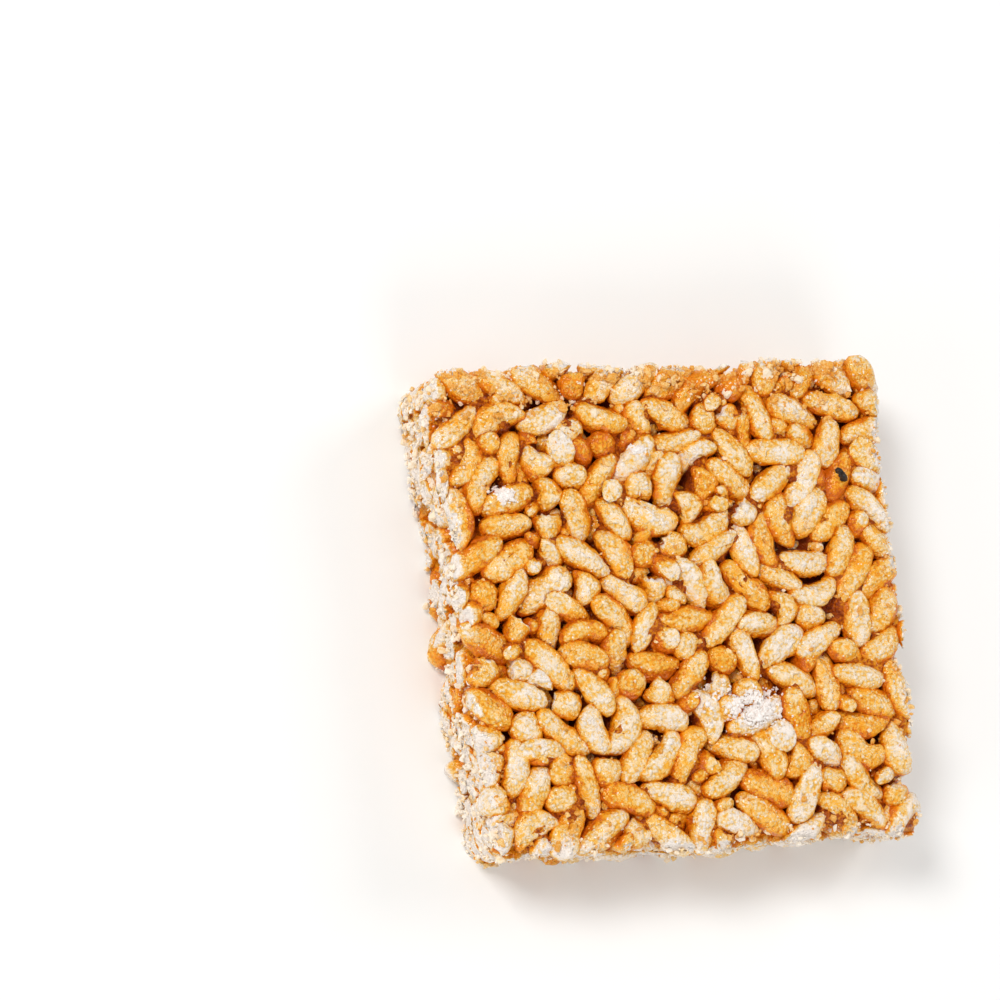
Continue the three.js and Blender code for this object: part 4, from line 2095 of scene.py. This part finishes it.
@dataclass
class Studio:
    """A plain pale floor, soft light and the camera, which looks down on the cake."""

    focal_pixels: float = 3200.0
    sensor: float = 36.0
    turns: tuple[float, float, float] = (-8.0, 17.94, 4.35)
    offset: tuple[float, float, float] = (22.84, -15.03, -438.81)
    aim_height: float = 8.2
    floor_size: float = 6.0
    floor_colour: str = "fbfaf8"
    world_strength: float = 0.37
    lamps: tuple[Lamp, ...] = (
        Lamp("key", 4.6, 0.3, (-0.5, 0.35, 0.75)),
        Lamp("left", 1.4, 0.5, (-0.8, -0.3, 0.35)),
        Lamp("right", 2.6, 0.5, (0.7, 0.3, 0.6)),
        Lamp("front", 2.4, 0.5, (0.1, -0.8, 0.6)),
    )

    def camera(self, slab: Slab) -> bpy.types.Object:
        """Makes the scene's camera.

        Args:
            slab: whose middle goes over the origin.

        Returns:
            The camera.
        """
        about = {axis: Matrix.Rotation(math.radians(turn), 4, axis) for axis, turn in zip("XYZ", self.turns)}
        turn = about["Z"] @ about["X"] @ about["Y"]
        aim = Vector((-slab.middle[0], -slab.middle[1], self.aim_height))
        back = turn.inverted()
        place = (back @ Vector(self.offset)) * -1.0 + aim
        data = bpy.data.cameras.new("camera")
        data.sensor_width = self.sensor
        data.lens = self.focal_pixels / IMAGE_PIXELS * self.sensor
        camera = placed("camera", data)
        camera.matrix_world = Matrix.Translation(place * METRES) @ back
        bpy.context.scene.camera = camera
        return camera

    def floor(self) -> bpy.types.Object:
        """Makes the floor that the cake lies on.

        Returns:
            The floor.
        """
        bm = bmesh.new()
        bmesh.ops.create_grid(bm, x_segments=1, y_segments=1, size=self.floor_size / 2)
        mesh = bpy.data.meshes.new("floor")
        bm.to_mesh(mesh)
        bm.free()
        floor = placed("floor", mesh)
        d = Dresser("floor")
        mesh.materials.append(d.finish(base_color=linear(self.floor_colour), roughness=0.8))
        return floor

    def light(self) -> None:
        """Makes the white surroundings and the lamps."""
        world = bpy.data.worlds.new("studio")
        world.use_nodes = True
        background = world.node_tree.nodes["Background"]
        background.inputs["Color"].default_value = (1.0, 1.0, 1.0, 1.0)
        background.inputs["Strength"].default_value = self.world_strength
        bpy.context.scene.world = world
        for lamp in self.lamps:
            lamp.build()

    def build(self, slab: Slab) -> None:
        """Makes the camera, the floor and the light, and keeps the colours plain.

        Args:
            slab: whose middle goes over the origin.
        """
        self.camera(slab)
        self.floor()
        self.light()
        bpy.context.scene.view_settings.view_transform = "Standard"


@dataclass
class RiceCake:
    """The whole cake."""

    slab: Slab = field(default_factory=Slab)
    packing: Packing = field(default_factory=Packing)
    snapped_share: float = 0.5
    snapped_lengths: tuple[float, float] = (0.35, 0.85)

    # Points round each ring of a grain, and steps from pole to pole.
    FINENESS = {
        "face_long": (30, 27),
        "face_short": (24, 18),
        "wall_whole": (20, 17),
        "wall_cut": (20, 17),
        "underside": (12, 11),
        "inner": (8, 7),
    }

    def grains(self) -> Grains:
        """Packs the grains, fills the gaps between them and snaps the ends of some.

        Returns:
            The grains.
        """
        draws = Draws(Seed.PACKING)
        self.slab.cut(draws)
        packed = self.packing.pack(self.slab, draws)
        log.info("packed %d grains", len(packed.radius))
        grains = Filling(self.slab).fill(packed)
        grains.break_ends(self.snapped_share, *self.snapped_lengths, np.random.default_rng(Seed.PACKING))
        return grains

    def build(self) -> list[bpy.types.Object]:
        """Makes every piece, dresses it and puts it on its body.

        Returns:
            The pieces.
        """
        grains = self.grains()
        rice, crumb = PuffedRiceFinish().make(), CrumbFinish().make()
        shaper = GrainShaper(self.slab, grains)
        rows = GrainGroups(self.slab, grains).groups()
        pieces: list[bpy.types.Object] = []
        for k, (group, fineness) in enumerate(self.FINENESS.items()):
            template = Template.spindle(*fineness)
            grown = shaper.shape(f"{group}_grains", rows[group], template, Seed.GRAIN_SHAPES + k)
            pieces.append(self.dress(grown, rice, stands_for_solid=True))
        core = SyrupCore(self.slab, grains.stubs()).build()
        pieces.append(self.dress(core, SyrupFinish().make(), stands_for_solid=True))
        crumbs = Crumbs(self.slab, grains.stubs())
        pieces.append(self.dress(crumbs.fine(), crumb))
        pieces.append(self.dress(crumbs.coarse(), crumb))
        pieces.append(self.dress(crumbs.starch(), StarchFinish().make()))
        pieces.append(self.dress(crumbs.burnt(), BurntFinish().make()))
        return pieces

    @staticmethod
    def dress(
        piece: bpy.types.Object, material: bpy.types.Material, stands_for_solid: bool = False
    ) -> bpy.types.Object:
        """Gives a piece its material and its body.

        Args:
            piece: the piece.
            material: its finish.
            stands_for_solid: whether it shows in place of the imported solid.

        Returns:
            The piece.
        """
        piece.data.materials.append(material)
        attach(piece, BODY)
        if stands_for_solid:
            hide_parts(NODE)
        return piece


def main() -> None:
    """Builds the cake and the studio."""
    logging.basicConfig(level=logging.INFO, format="%(name)s: %(message)s")
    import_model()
    cake = RiceCake()
    pieces = cake.build()
    Studio().build(cake.slab)
    for piece in pieces:
        log.info("piece %s", piece.name)


if __name__ == "__main__":
    main()
